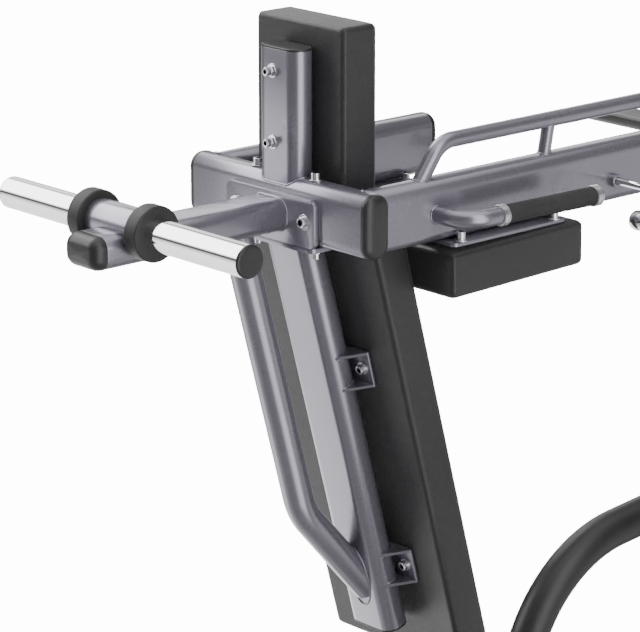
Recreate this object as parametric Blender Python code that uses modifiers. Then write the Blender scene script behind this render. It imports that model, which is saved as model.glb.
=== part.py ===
"""Pendulum squat machine, free-standing, open on its far side so that the user walks in.

The user stands on the sloping plate, shoulders under the two shoulder pads, back on the long
pad, and faces the tower. The silver carriage hangs on one long beam that turns on the shaft at
the top of the tower. Discs on the arm ahead of the shaft hold the empty carriage up.

Metres, +Z up. +X is the side of the long beam, +Y points from the weight bar to the tower.
y is counted from the weight bar's axis in the dimensions, and point() moves it to the middle.
"""

from math import acos, atan2, cos, pi, radians, sin, sqrt, tan

import bmesh
import bpy
from mathutils import Matrix, Vector

# Clearances
GAP = 0.0003                 # between pieces that touch
RUNNING = 0.0005             # around a shaft that turns

# Floor frame
RAIL_OFFSET = 0.345          # middle of the machine to each floor rail
RAIL_WIDTH = 0.100
RAIL_HEIGHT = 0.050
RAIL_RADIUS = 0.022
RAIL_REAR = 0.400
RAIL_FRONT = 1.900
FRAME_WALL = 0.003
FOOT_HEIGHT = 0.012
FOOT_RADIUS = 0.030
FOOT_STATIONS = (0.460, 1.840)
STUD_RADIUS = 0.005
STUD_LENGTH = 0.010
CAP_DOME = 0.014             # how far a cap stands out
PLUG_DEPTH = 0.012
PLUG_FIT = 0.0005

# Heights and stations of the carriage
BEAM_HEIGHT = 1.520          # middle of the beam and of the cross tube
BEAM_DEPTH = 0.100
BEAM_WIDTH = 0.050
BEAM_RADIUS = 0.022
BEAM_OFFSET = 0.170          # middle of the machine to the beam and to the stub
CARRIAGE_WALL = 0.003
CROSS_STATION = 0.322
STUB_END = 0.772
BAR_RISE = 0.022             # weight bar's axis above the middle of the beam

# Weight bar and the arm that carries it
BAR_LENGTH = 0.578
BAR_RADIUS = 0.025
BAR_WALL = 0.004
BAR_CAP = 0.004
SLEEVE_RADIUS = 0.031
SLEEVE_LENGTH = 0.106
RING_RADIUS = 0.0425
RING_WIDTH = 0.028
HORN_WIDTH = 0.080
HORN_DEPTH = 0.052
HORN_RADIUS = 0.020
HORN_DROP = 0.029            # middle of the arm below the bar's axis
HORN_REAR = 0.060
FLANGE_LENGTH = 0.204
FLANGE_HEIGHT = 0.068
FLANGE_THICK = 0.010

# Head rest
POST_WIDTH = 0.080
POST_DEPTH = 0.040
POST_RADIUS = 0.014
POST_RISE = 0.245            # top of the post above the middle of the beam
POST_CAP = 0.003
HEAD_PAD_WIDTH = 0.204
HEAD_PAD_LENGTH = 0.266
HEAD_PAD_THICK = 0.074
HEAD_PAD_RISE = 0.286        # top of the pad above the middle of the beam

# Leaning frame of the back pad
LEAN = radians(15.3)
SPINE_WIDTH = 0.100
SPINE_DEPTH = 0.050
SPINE_RADIUS = 0.022
SPINE_LENGTH = 0.706
SPINE_OVERRUN = 0.050        # cut off by the top plate
SPINE_REAR = 0.3125          # rear face where it meets the top plate
PLATE_THICK = 0.008
PLATE_LENGTH = 0.184
PLATE_REAR = 0.290
PLATE_FRONT = 0.368
CLAMP_OFFSET = 0.067
BOW_RADIUS = 0.024
BOW_BEND = 0.120
BOW_STATION = 0.218          # where the bow meets the horn arm
BOW_DROP = 0.493             # corner of the bow below the horn arm, along the lean
BOW_JOIN = 0.610             # where its axis meets the spine's rear face, along the spine
BRACKET_STATIONS = (0.232, 0.595)
BRACKET_WIDTH = 0.034
BRACKET_HEIGHT = 0.062
BRACKET_THICK = 0.005
BRACKET_FLANGE = 0.042
BACK_PAD_WIDTH = 0.300
BACK_PAD_LENGTH = 0.782
BACK_PAD_THICK = 0.068
BACK_PAD_START = 0.004       # top of the pad below the top plate, along the spine

# Shoulder pads
SHOULDER_WIDTH = 0.135
SHOULDER_LENGTH = 0.273
SHOULDER_THICK = 0.078
SHOULDER_OUTER = 0.224
SHOULDER_REAR = 0.464
SHOULDER_PLATE = 0.006
SHOULDER_PLATE_INSET = 0.012

# Handles and rail
HANDLE_RADIUS = 0.0125
HANDLE_REACH = 0.065         # beam's face to the handle's axis
HANDLE_BEND = 0.045
HANDLE_STATION = 0.456
HANDLE_DROP = 0.003
GRIP_RADIUS = 0.017
GRIP_START = 0.510
GRIP_LENGTH = 0.248
HANDLE_TIP = 0.012           # rod beyond the grip, under the end collar
HAND_RAIL_RADIUS = 0.0125
HAND_RAIL_RISE = 0.052       # beam's top to the rail's axis
HAND_RAIL_REAR = 0.438
HAND_RAIL_FRONT = 1.180
HAND_RAIL_POST = 0.712
HAND_RAIL_SPREAD = 0.046     # how far a leg leans back to its foot

# Release lever beside the beam
LEVER_RADIUS = 0.006
LEVER_STATION = 0.847
LEVER_DROP = 0.012           # its axis below the middle of the beam
LEVER_REACH = 0.165          # beam's face to the crank
LEVER_CRANK = 0.056
LEVER_BEND = 0.016
LEVER_GRIP_RADIUS = 0.016
LEVER_GRIP_LENGTH = 0.110
LEVER_BUSH_RADIUS = 0.011
LEVER_BUSH_LENGTH = 0.010
LEVER_INSIDE = 0.018

# Shaft at the top of the tower
PIVOT_STATION = 1.355
SHAFT_RADIUS = 0.0175
SHAFT_COLLAR = 0.026
SHAFT_COLLAR_LENGTH = 0.010
HUB_RADIUS = 0.035
HUB_OVERHANG = 0.005         # boss beyond each face of the beam
BEAM_NOSE = 0.062            # beam's front end beyond the shaft
BLOCK_HEIGHT = 0.043         # shaft above the head bar
BLOCK_RADIUS = 0.034
BLOCK_LENGTH = 0.044
BLOCK_NEAR = 0.105
BLOCK_FAR = -0.140
HEAD_BAR_NEAR = 0.130
HEAD_BAR_FAR = -0.320
HEAD_BAR_WIDTH = 0.060
HEAD_BAR_DEPTH = 0.026
HEAD_BAR_RADIUS = 0.011
UPRIGHT_MIDDLE = -0.015
UPRIGHT_SPACING = 0.160
SWING = radians(36.0)

# Counterweight
ARM_WIDTH = 0.050
ARM_DEPTH = 0.060
ARM_REACH = 0.540            # shaft to the discs' axis
ARM_NOSE = 0.045
ARM_HUB_LENGTH = 0.090
DISC_RADIUS = 0.185
DISC_THICK = 0.066
DISC_RIM = 0.022
DISC_RECESS = 0.005
PEG_RADIUS = 0.022
PEG_HEAD_RADIUS = 0.034
PEG_HEAD_LENGTH = 0.008

# Stops
BUMPER_RADIUS = 0.018
BUMPER_HEIGHT = 0.018
SHELF_REACH = 0.080
SHELF_THICK = 0.008
SHELF_DROP = 0.110
LOWER_STOP_WIDTH = 0.042
LOWER_STOP_DEPTH = 0.030
LOWER_STOP_STATION = -0.025  # from the shaft
STOP_CLEARANCE = 0.0015

# Side hoop
HOOP_RADIUS = 0.030
HOOP_REAR = 0.494
HOOP_FRONT = 1.560
HOOP_HEIGHT = 0.970          # axis above the floor where the rear leg's line meets the top's
HOOP_SLOPE = 0.100
HOOP_BEND = 0.240

# Standing plate
STAND_WIDTH = 0.520
STAND_REAR = 0.890
STAND_RUN = 0.395
STAND_START = 0.105
STAND_ANGLE = radians(26.0)
STAND_THICK = 0.005
STAND_LIP = 0.030
MAT_THICK = 0.006
MAT_MARGIN = 0.020
MAT_RIBS = 9
MAT_RIB_DEPTH = 0.0025
RIB_OFFSET = 0.180
RIB_THICK = 0.008
STAND_CROSS = STAND_REAR + 0.040

# Tower braces
BRACE_RADIUS = 0.021
BRACE_TOP = 1.020            # on the uprights' front faces
BRACE_FOOT = 1.800
FRONT_CROSS = BRACE_FOOT + 0.030

# Fasteners
BOLT_RADIUS = 0.005
BOLT_HEAD_RADIUS = 0.008
BOLT_HEAD_HEIGHT = 0.007
WASHER_RADIUS = 0.0105
WASHER_HEIGHT = 0.002

# Places worked out from the dimensions
REAR_END = -HORN_REAR - CAP_DOME
FRONT_END = PIVOT_STATION + ARM_REACH + DISC_RADIUS
MIDDLE = (REAR_END + FRONT_END) / 2
RAIL_MIDDLE = FOOT_HEIGHT + RAIL_HEIGHT / 2
RAIL_TOP = FOOT_HEIGHT + RAIL_HEIGHT
BAR_HEIGHT = BEAM_HEIGHT + BAR_RISE
BEAM_TOP = BEAM_HEIGHT + BEAM_DEPTH / 2
BEAM_BOTTOM = BEAM_HEIGHT - BEAM_DEPTH / 2
BEAM_FACE = BEAM_OFFSET + BEAM_WIDTH / 2
CROSS_REAR = CROSS_STATION - BEAM_WIDTH / 2
CROSS_FRONT = CROSS_STATION + BEAM_WIDTH / 2
HORN_MIDDLE = BAR_HEIGHT - HORN_DROP
PLATE_TOP = BEAM_BOTTOM - GAP
PLATE_BOTTOM = PLATE_TOP - PLATE_THICK
DOWN = Vector((0, sin(LEAN), -cos(LEAN)))        # along the spine
AHEAD = Vector((0, cos(LEAN), sin(LEAN)))        # square to the back pad
HEAD_BAR_TOP = BEAM_HEIGHT - BLOCK_HEIGHT
HEAD_BAR_BOTTOM = HEAD_BAR_TOP - HEAD_BAR_DEPTH
UPRIGHT_NEAR = UPRIGHT_MIDDLE + UPRIGHT_SPACING / 2
UPRIGHT_FAR = UPRIGHT_MIDDLE - UPRIGHT_SPACING / 2
UPRIGHT_FRONT = PIVOT_STATION + BEAM_DEPTH / 2


def point(x, y, z):
    """A place in the part's frame; y is counted from the weight bar."""
    return Vector((x, y - MIDDLE, z))


def clear_scene():
    for item in list(bpy.data.objects):
        bpy.data.objects.remove(item, do_unlink=True)


def collection(name):
    made = bpy.data.collections.new(name)
    bpy.context.scene.collection.children.link(made)
    return made


def material(name, colour, roughness, metallic=0.0):
    made = bpy.data.materials.new(name)
    made.use_nodes = True
    made.diffuse_color = (*colour, 1)
    shader = made.node_tree.nodes["Principled BSDF"]
    shader.inputs["Base Color"].default_value = (*colour, 1)
    shader.inputs["Roughness"].default_value = roughness
    shader.inputs["Metallic"].default_value = metallic
    return made


clear_scene()
PARTS = collection("pendulum_squat_machine")
CUTTERS = collection("cutters")
JOINTS = collection("joint_axes")

SILVER = material("silver_powder_coat", (0.33, 0.33, 0.36), 0.32, 0.35)
BLACK = material("black_powder_coat", (0.018, 0.018, 0.019), 0.38)
CHROME = material("chrome", (0.80, 0.80, 0.81), 0.08, 1.0)
STEEL = material("zinc_steel", (0.62, 0.62, 0.63), 0.28, 1.0)
VINYL = material("black_vinyl", (0.035, 0.035, 0.036), 0.52)
RUBBER = material("black_rubber", (0.025, 0.025, 0.025), 0.70)
PLASTIC = material("black_plastic", (0.030, 0.030, 0.030), 0.45)
IRON = material("black_iron", (0.022, 0.022, 0.023), 0.50)


def joint_empty(name, place):
    empty = bpy.data.objects.new(name, None)
    empty.empty_display_size = 0.1
    empty.location = place
    JOINTS.objects.link(empty)
    return empty


PENDULUM = joint_empty("pendulum_axis", point(0, PIVOT_STATION, BEAM_HEIGHT))
LEVER = joint_empty("lever_axis", point(0, LEVER_STATION, BEAM_HEIGHT - LEVER_DROP))


def add(name, mesh, finish, frame=Matrix(), carrier=None, smooth_angle=35):
    """Put a mesh in the scene as one named piece, carried by a joint's empty if it moves."""
    made = bpy.data.objects.new(name, mesh)
    PARTS.objects.link(made)
    mesh.materials.clear()
    mesh.materials.append(finish)
    mesh.shade_smooth()
    mesh.set_sharp_from_angle(angle=radians(smooth_angle))
    if carrier:
        made.parent = carrier
        made.matrix_parent_inverse = Matrix.Translation(carrier.location).inverted()
    made.matrix_basis = frame
    return made


def frame_along(start, end, across):
    """A frame at the middle of a run: local Z along it, local X near the across direction."""
    along = (end - start).normalized()
    side = (across - along * across.dot(along)).normalized()
    third = along.cross(side)
    rows = Matrix((side, third, along)).transposed().to_4x4()
    return Matrix.Translation((start + end) / 2) @ rows


def rounded_rectangle(width, depth, radius, steps=4):
    """The outline of a flat-sided tube, as points round its section."""
    points = []
    for turn, (sx, sy) in enumerate(((1, 1), (-1, 1), (-1, -1), (1, -1))):
        for step in range(steps + 1):
            angle = (turn + step / steps) * pi / 2
            points.append((sx * (width / 2 - radius) + radius * cos(angle),
                           sy * (depth / 2 - radius) + radius * sin(angle)))
    return points


def circle(radius, steps=24, middle=(0, 0)):
    return [(middle[0] + radius * cos(2 * pi * k / steps), middle[1] + radius * sin(2 * pi * k / steps))
            for k in range(steps)]


def weld_curve(curve_object):
    """Turn a curve object into a welded mesh and remove the curve."""
    depsgraph = bpy.context.evaluated_depsgraph_get()
    mesh = bpy.data.meshes.new_from_object(curve_object.evaluated_get(depsgraph))
    bpy.data.objects.remove(curve_object, do_unlink=True)
    shape = bmesh.new()
    shape.from_mesh(mesh)
    bmesh.ops.remove_doubles(shape, verts=shape.verts, dist=0.000005)
    bmesh.ops.recalc_face_normals(shape, faces=shape.faces)
    shape.to_mesh(mesh)
    shape.free()
    return mesh


def outline_mesh(name, loops, thickness):
    """A flat outline with holes, extruded half its thickness each way."""
    curve = bpy.data.curves.new(name, "CURVE")
    curve.dimensions = "2D"
    curve.fill_mode = "BOTH"
    curve.extrude = thickness / 2
    for loop in loops:
        spline = curve.splines.new("POLY")
        spline.points.add(len(loop) - 1)
        for place, (x, y) in zip(spline.points, loop):
            place.co = (x, y, 0, 1)
        spline.use_cyclic_u = True
    drawn = bpy.data.objects.new(name, curve)
    bpy.context.scene.collection.objects.link(drawn)
    bpy.context.view_layer.update()
    return weld_curve(drawn)


def extruded(name, loops, start, end, across, finish, carrier=None, smooth_angle=35):
    mesh = outline_mesh(name, loops, (end - start).length)
    return add(name, mesh, finish, frame_along(start, end, across), carrier, smooth_angle)


def flat_tube(name, size, radius, start, end, across, finish, wall=None, carrier=None):
    """A flat-sided tube from start to end; size is (across, the other way)."""
    loops = [rounded_rectangle(size[0], size[1], radius)]
    if wall:
        inner = rounded_rectangle(size[0] - 2 * wall, size[1] - 2 * wall, radius - wall)
        loops.append(inner)
    return extruded(name, loops, start, end, across, finish, carrier)


def rounded_path(corners, bend, steps=6):
    """Straight runs between corners, each inner corner rounded to the bend radius."""
    path = [corners[0]]
    for before, corner, after in zip(corners, corners[1:], corners[2:]):
        back = (before - corner).normalized()
        out = (after - corner).normalized()
        half = back.angle(out) / 2
        reach = bend / tan(half)
        middle = corner + (back + out).normalized() * (bend / sin(half))
        first = corner + back * reach - middle
        last = corner + out * reach - middle
        sweep = first.angle(last)
        for step in range(steps + 1):
            share = step / steps
            path.append(middle + (first * sin((1 - share) * sweep) + last * sin(share * sweep)) / sin(sweep))
    path.append(corners[-1])
    return path


def bent_tube_mesh(name, path, radius, sides=12, capped=True):
    curve = bpy.data.curves.new(name, "CURVE")
    curve.dimensions = "3D"
    curve.bevel_depth = radius
    curve.bevel_resolution = sides // 4 - 1
    curve.use_fill_caps = capped
    spline = curve.splines.new("POLY")
    spline.points.add(len(path) - 1)
    for place, where in zip(spline.points, path):
        place.co = (*where, 1)
    drawn = bpy.data.objects.new(name, curve)
    bpy.context.scene.collection.objects.link(drawn)
    bpy.context.view_layer.update()
    return weld_curve(drawn)


def bent_tube(name, path, radius, finish, wall=None, carrier=None, sides=12):
    made = add(name, bent_tube_mesh(name, path, radius, sides, capped=wall is None), finish, carrier=carrier)
    if wall:
        shell = made.modifiers.new("wall", "SOLIDIFY")
        shell.thickness = wall
        shell.offset = -1
        shell.use_even_offset = True
    return made


def turned_mesh(name, profile, steps=24, closed=False):
    """A profile of (radius, height) pairs turned about local Z, top to bottom on its outer side."""
    mesh = bpy.data.meshes.new(name)
    shape = bmesh.new()
    corners = [shape.verts.new((radius, 0, height)) for radius, height in profile]
    for first, second in zip(corners, corners[1:]):
        shape.edges.new((first, second))
    if closed:
        shape.edges.new((corners[-1], corners[0]))
    shape.to_mesh(mesh)
    shape.free()
    drawn = bpy.data.objects.new(name, mesh)
    bpy.context.scene.collection.objects.link(drawn)
    screw = drawn.modifiers.new("turn", "SCREW")
    screw.steps = steps
    screw.render_steps = steps
    screw.use_merge_vertices = True
    screw.merge_threshold = 0.00002
    screw.use_normal_calculate = True
    bpy.context.view_layer.update()
    mesh = weld_curve(drawn)
    return mesh


def axis_frame(place, along, across=Vector((0, 0, 1))):
    """A frame at a place with local Z along a direction."""
    along = along.normalized()
    if abs(along.dot(across)) > 0.99:
        across = Vector((0, 1, 0))
    side = (across - along * across.dot(along)).normalized()
    rows = Matrix((side, along.cross(side), along)).transposed().to_4x4()
    return Matrix.Translation(place) @ rows


def cutter(name, mesh, frame=Matrix()):
    made = bpy.data.objects.new(name, mesh)
    CUTTERS.objects.link(made)
    made.matrix_basis = frame
    made.hide_render = True
    made.display_type = "WIRE"
    return made


def block_mesh(name, low, high):
    """A box between two corners."""
    mesh = bpy.data.meshes.new(name)
    shape = bmesh.new()
    bmesh.ops.create_cube(shape, size=1)
    size = high - low
    bmesh.ops.scale(shape, vec=size, verts=shape.verts)
    bmesh.ops.translate(shape, vec=(low + high) / 2, verts=shape.verts)
    shape.to_mesh(mesh)
    shape.free()
    return mesh


def cylinder_mesh(name, radius, length, steps=24):
    mesh = bpy.data.meshes.new(name)
    shape = bmesh.new()
    bmesh.ops.create_cone(shape, cap_ends=True, segments=steps, radius1=radius, radius2=radius, depth=length)
    shape.to_mesh(mesh)
    shape.free()
    return mesh


def cut(piece, tool, operation="DIFFERENCE"):
    change = piece.modifiers.new(tool.name, "BOOLEAN")
    change.operation = operation
    change.solver = "EXACT"
    change.object = tool
    return change


def flat_tube_cutter(name, size, radius, start, end, across):
    """The outside of a flat-sided tube with its clearance, as a cutter."""
    loop = rounded_rectangle(size[0] + 2 * GAP, size[1] + 2 * GAP, radius + GAP)
    mesh = outline_mesh(name, [loop], (end - start).length)
    return cutter(name, mesh, frame_along(start, end, across))


def bolt_mesh(grip):
    """A bolt, its washers and its nut as one body: head above local zero, nut below the grip."""
    head = WASHER_HEIGHT + BOLT_HEAD_HEIGHT
    under = -grip - GAP
    profile = [(0, head), (BOLT_HEAD_RADIUS - 0.0015, head), (BOLT_HEAD_RADIUS, head - 0.0015),
               (BOLT_HEAD_RADIUS, WASHER_HEIGHT), (WASHER_RADIUS, WASHER_HEIGHT), (WASHER_RADIUS, GAP),
               (BOLT_RADIUS, GAP), (BOLT_RADIUS, under), (WASHER_RADIUS, under),
               (WASHER_RADIUS, under - WASHER_HEIGHT), (BOLT_HEAD_RADIUS, under - WASHER_HEIGHT),
               (BOLT_HEAD_RADIUS, under - head), (BOLT_RADIUS, under - head),
               (BOLT_RADIUS, under - head - 0.005), (0, under - head - 0.005)]
    return turned_mesh("bolt", profile, steps=12)


def hole_cutter(name, places, along, radius, length, steps=16):
    """Round holes along one direction, each centred on its place."""
    shape = bmesh.new()
    for place in places:
        bmesh.ops.create_cone(shape, cap_ends=True, segments=steps, radius1=radius, radius2=radius, depth=length,
                              matrix=axis_frame(place, along))
    mesh = bpy.data.meshes.new(name)
    shape.to_mesh(mesh)
    shape.free()
    return cutter(name, mesh)


def lofted_mesh(name, width, depth, radius, rings):
    """Rounded rectangles at given heights, each grown or shrunk, closed into one body."""
    shape = bmesh.new()
    loops = []
    for height, grow in rings:
        corner = max(radius + grow, 0.002)
        outline = rounded_rectangle(width + 2 * grow, depth + 2 * grow, corner)
        loops.append([shape.verts.new((x, y, height)) for x, y in outline])
    for lower, upper in zip(loops, loops[1:]):
        for k in range(len(lower)):
            after = (k + 1) % len(lower)
            shape.faces.new((lower[k], lower[after], upper[after], upper[k]))
    shape.faces.new(list(reversed(loops[0])))
    shape.faces.new(loops[-1])
    mesh = bpy.data.meshes.new(name)
    shape.to_mesh(mesh)
    shape.free()
    return mesh


def cap_mesh(width, depth, radius, rings=None, wall=CARRIAGE_WALL):
    """A plug for the end of a flat-sided tube: local zero is the tube's end."""
    neck = -wall - PLUG_FIT
    rings = [(-PLUG_DEPTH, neck), (GAP, neck), (GAP, 0.0)] + (rings or DOME)
    return lofted_mesh("cap", width, depth, radius, rings)


def flat_cap(width, depth, radius):
    return cap_mesh(width, depth, radius, [(POST_CAP - 0.001, 0.0), (POST_CAP, -0.001)])


def cushion(name, width, length, thick, frame, columns, rows, carrier, crown=0.006):
    """An upholstered block: flat back at local zero, crowned front, sides drawn in at two seams."""
    edge = 0.020
    seam_in = 0.0028
    back_seam = 0.014
    front_seam = thick - crown - 0.013
    shape = bmesh.new()
    bmesh.ops.create_cube(shape, size=1)
    bmesh.ops.scale(shape, vec=(width, length, thick - crown), verts=shape.verts)
    bmesh.ops.translate(shape, vec=(0, 0, (thick - crown) / 2), verts=shape.verts)

    def slice_at(place, normal):
        everything = shape.verts[:] + shape.edges[:] + shape.faces[:]
        bmesh.ops.bisect_plane(shape, geom=everything, plane_co=place, plane_no=normal)

    for k in range(columns + 1):
        slice_at(((k / columns - 0.5) * (width - 2 * edge), 0, 0), (1, 0, 0))
    for k in range(rows + 1):
        slice_at((0, (k / rows - 0.5) * (length - 2 * edge), 0), (0, 1, 0))
    for height in (0.004, back_seam, thick / 2, front_seam, thick - crown - 0.004):
        slice_at((0, 0, height), (0, 0, 1))
    for vertex in shape.verts:
        place = vertex.co
        across = min(1.0, abs(place.x) / (width / 2))
        along = min(1.0, abs(place.y) / (length / 2))
        if place.z > thick - crown - 0.0005:
            place.z += crown * (1 - across ** 2.6) * (1 - along ** 4)
        at_side = across > 0.999 or along > 0.999
        if at_side and min(abs(place.z - back_seam), abs(place.z - front_seam)) < 0.0005:
            if across > 0.999:
                place.x -= seam_in * (1 if place.x > 0 else -1)
            if along > 0.999:
                place.y -= seam_in * (1 if place.y > 0 else -1)
    mesh = bpy.data.meshes.new(name)
    shape.to_mesh(mesh)
    shape.free()
    made = add(name, mesh, VINYL, frame, carrier, smooth_angle=60)
    soft = made.modifiers.new("soft", "SUBSURF")
    soft.levels = 1
    soft.render_levels = 1
    return made


def upright_frame(place, facing):
    """A frame for a cushion that stands up: its back at the place, its front towards facing."""
    side = Vector((1, 0, 0))
    third = facing.cross(side).normalized()
    rows = Matrix((side, third, facing.normalized())).transposed().to_4x4()
    return Matrix.Translation(place) @ rows


X_AXIS = Vector((1, 0, 0))
Y_AXIS = Vector((0, 1, 0))
Z_AXIS = Vector((0, 0, 1))
PROFILE = Matrix((Y_AXIS, Z_AXIS, X_AXIS)).transposed().to_4x4()    # outlines drawn as (y, z)
ROUND_SIDES = 28
DISC_SIDES = 36
DOME = [(0.003, 0.0), (0.6 * CAP_DOME, -0.0035), (0.88 * CAP_DOME, -0.0090), (CAP_DOME, -0.0165)]


def build_floor_frame():
    """Two rails with domed ends, three cross members and the feet."""
    outer = [(grow_height, grow) for grow_height, grow in DOME]
    for name, x in (("near", RAIL_OFFSET), ("far", -RAIL_OFFSET)):
        length = RAIL_FRONT - RAIL_REAR
        rings = [(-height - length / 2, grow) for height, grow in reversed(outer)]
        rings += [(height + length / 2, grow) for height, grow in outer]
        frame = frame_along(point(x, RAIL_REAR, RAIL_MIDDLE), point(x, RAIL_FRONT, RAIL_MIDDLE), X_AXIS)
        mesh = lofted_mesh("floor_rail", RAIL_WIDTH, RAIL_HEIGHT, RAIL_RADIUS, rings)
        rail = add("floor_rail_" + name, mesh, BLACK, frame)
        inner = rounded_rectangle(RAIL_WIDTH - 2 * FRAME_WALL, RAIL_HEIGHT - 2 * FRAME_WALL,
                                  RAIL_RADIUS - FRAME_WALL)
        void = outline_mesh("rail_void", [inner], length)
        cut(rail, cutter("rail_void_" + name, void, frame))
        holes = [point(x, y, FOOT_HEIGHT) for y in FOOT_STATIONS]
        cut(rail, hole_cutter("foot_holes_" + name, holes, Z_AXIS, STUD_RADIUS + RUNNING, 4 * FRAME_WALL, 12))

    reach = RAIL_OFFSET - RAIL_WIDTH / 2 - GAP
    for name, y in (("stand_cross_member", STAND_CROSS), ("tower_cross_member", PIVOT_STATION),
                    ("front_cross_member", FRONT_CROSS)):
        flat_tube(name, (RAIL_WIDTH, RAIL_HEIGHT), RAIL_RADIUS, point(-reach, y, RAIL_MIDDLE),
                  point(reach, y, RAIL_MIDDLE), Y_AXIS, BLACK, FRAME_WALL)

    seat = FOOT_HEIGHT - GAP
    profile = [(0, seat + STUD_LENGTH), (STUD_RADIUS, seat + STUD_LENGTH), (STUD_RADIUS, seat),
               (FOOT_RADIUS - 0.002, seat), (FOOT_RADIUS, 0.002), (FOOT_RADIUS - 0.002, 0), (0, 0)]
    for side, x in (("near", RAIL_OFFSET), ("far", -RAIL_OFFSET)):
        for end, y in zip(("rear", "front"), FOOT_STATIONS):
            foot = turned_mesh("foot", profile, 20)
            add(f"rubber_foot_{side}_{end}", foot, RUBBER, Matrix.Translation(point(x, y, 0)))


def build_side_hoop():
    run = HOOP_FRONT - HOOP_REAR
    corners = [point(RAIL_OFFSET, HOOP_REAR, RAIL_TOP + GAP), point(RAIL_OFFSET, HOOP_REAR, HOOP_HEIGHT),
               point(RAIL_OFFSET, HOOP_FRONT, HOOP_HEIGHT + HOOP_SLOPE * run),
               point(RAIL_OFFSET, HOOP_FRONT, RAIL_TOP + GAP)]
    bent_tube("side_hoop", rounded_path(corners, HOOP_BEND, 8), HOOP_RADIUS, BLACK, sides=20)


def build_tower():
    top = HEAD_BAR_BOTTOM - GAP
    uprights = []
    for name, x in (("near", UPRIGHT_NEAR), ("far", UPRIGHT_FAR)):
        uprights.append(flat_tube("tower_upright_" + name, (BEAM_WIDTH, BEAM_DEPTH), BEAM_RADIUS,
                                  point(x, PIVOT_STATION, RAIL_TOP + GAP), point(x, PIVOT_STATION, top),
                                  X_AXIS, BLACK, FRAME_WALL))
    middle = (HEAD_BAR_TOP + HEAD_BAR_BOTTOM) / 2
    flat_tube("tower_head_bar", (HEAD_BAR_WIDTH, HEAD_BAR_DEPTH), HEAD_BAR_RADIUS,
              point(HEAD_BAR_FAR, PIVOT_STATION, middle), point(HEAD_BAR_NEAR, PIVOT_STATION, middle),
              Y_AXIS, BLACK)
    build_bearing_blocks()
    build_brace()
    build_stops(uprights[0])


def build_bearing_blocks():
    """Blocks with a round head on a foot that seats on the head bar."""
    foot = HEAD_BAR_WIDTH / 2 - 0.002
    toe = 0.014
    low, high = radians(-25), radians(205)
    waist = (BLOCK_RADIUS * cos(low) - 0.004, BLOCK_RADIUS * sin(low) - 0.006)
    outline = [(foot, -BLOCK_HEIGHT + GAP), (foot, -BLOCK_HEIGHT + toe), waist]
    for step in range(13):
        angle = low + (high - low) * step / 12
        outline.append((BLOCK_RADIUS * cos(angle), BLOCK_RADIUS * sin(angle)))
    outline += [(-waist[0], waist[1]), (-foot, -BLOCK_HEIGHT + toe), (-foot, -BLOCK_HEIGHT + GAP)]
    bore = circle(SHAFT_RADIUS + RUNNING, 24)
    for name, x in (("near", BLOCK_NEAR), ("far", BLOCK_FAR)):
        mesh = outline_mesh("bearing_block", [outline, bore], BLOCK_LENGTH)
        frame = Matrix.Translation(point(x, PIVOT_STATION, BEAM_HEIGHT)) @ PROFILE
        add("bearing_block_" + name, mesh, BLACK, frame)


def build_brace():
    """Two round tubes from the uprights that meet on the front cross member."""
    reach = 0.08
    foot = point(UPRIGHT_MIDDLE, BRACE_FOOT, RAIL_TOP)
    tubes = []
    for x, sides in ((UPRIGHT_NEAR, 18), (UPRIGHT_FAR, 20)):
        top = point(x, UPRIGHT_FRONT, BRACE_TOP)
        along = (foot - top).normalized()
        length = (foot - top).length + 2 * reach
        frame = frame_along(top - along * reach, foot + along * reach, X_AXIS)
        tubes.append((cylinder_mesh("brace", BRACE_RADIUS, length, sides), frame))
    brace = add("tower_brace", tubes[0][0], BLACK, tubes[0][1])
    cut(brace, cutter("brace_far", *tubes[1]), "UNION")
    wide = 0.4
    front = block_mesh("brace_top_cut", point(-wide, UPRIGHT_FRONT - wide, BRACE_TOP - wide),
                       point(wide, UPRIGHT_FRONT + GAP, BRACE_TOP + wide))
    floor = block_mesh("brace_foot_cut", point(-wide, BRACE_FOOT - wide, -wide),
                       point(wide, BRACE_FOOT + wide, RAIL_TOP + GAP))
    cut(brace, cutter("brace_top_cut", front))
    cut(brace, cutter("brace_foot_cut", floor))


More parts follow.
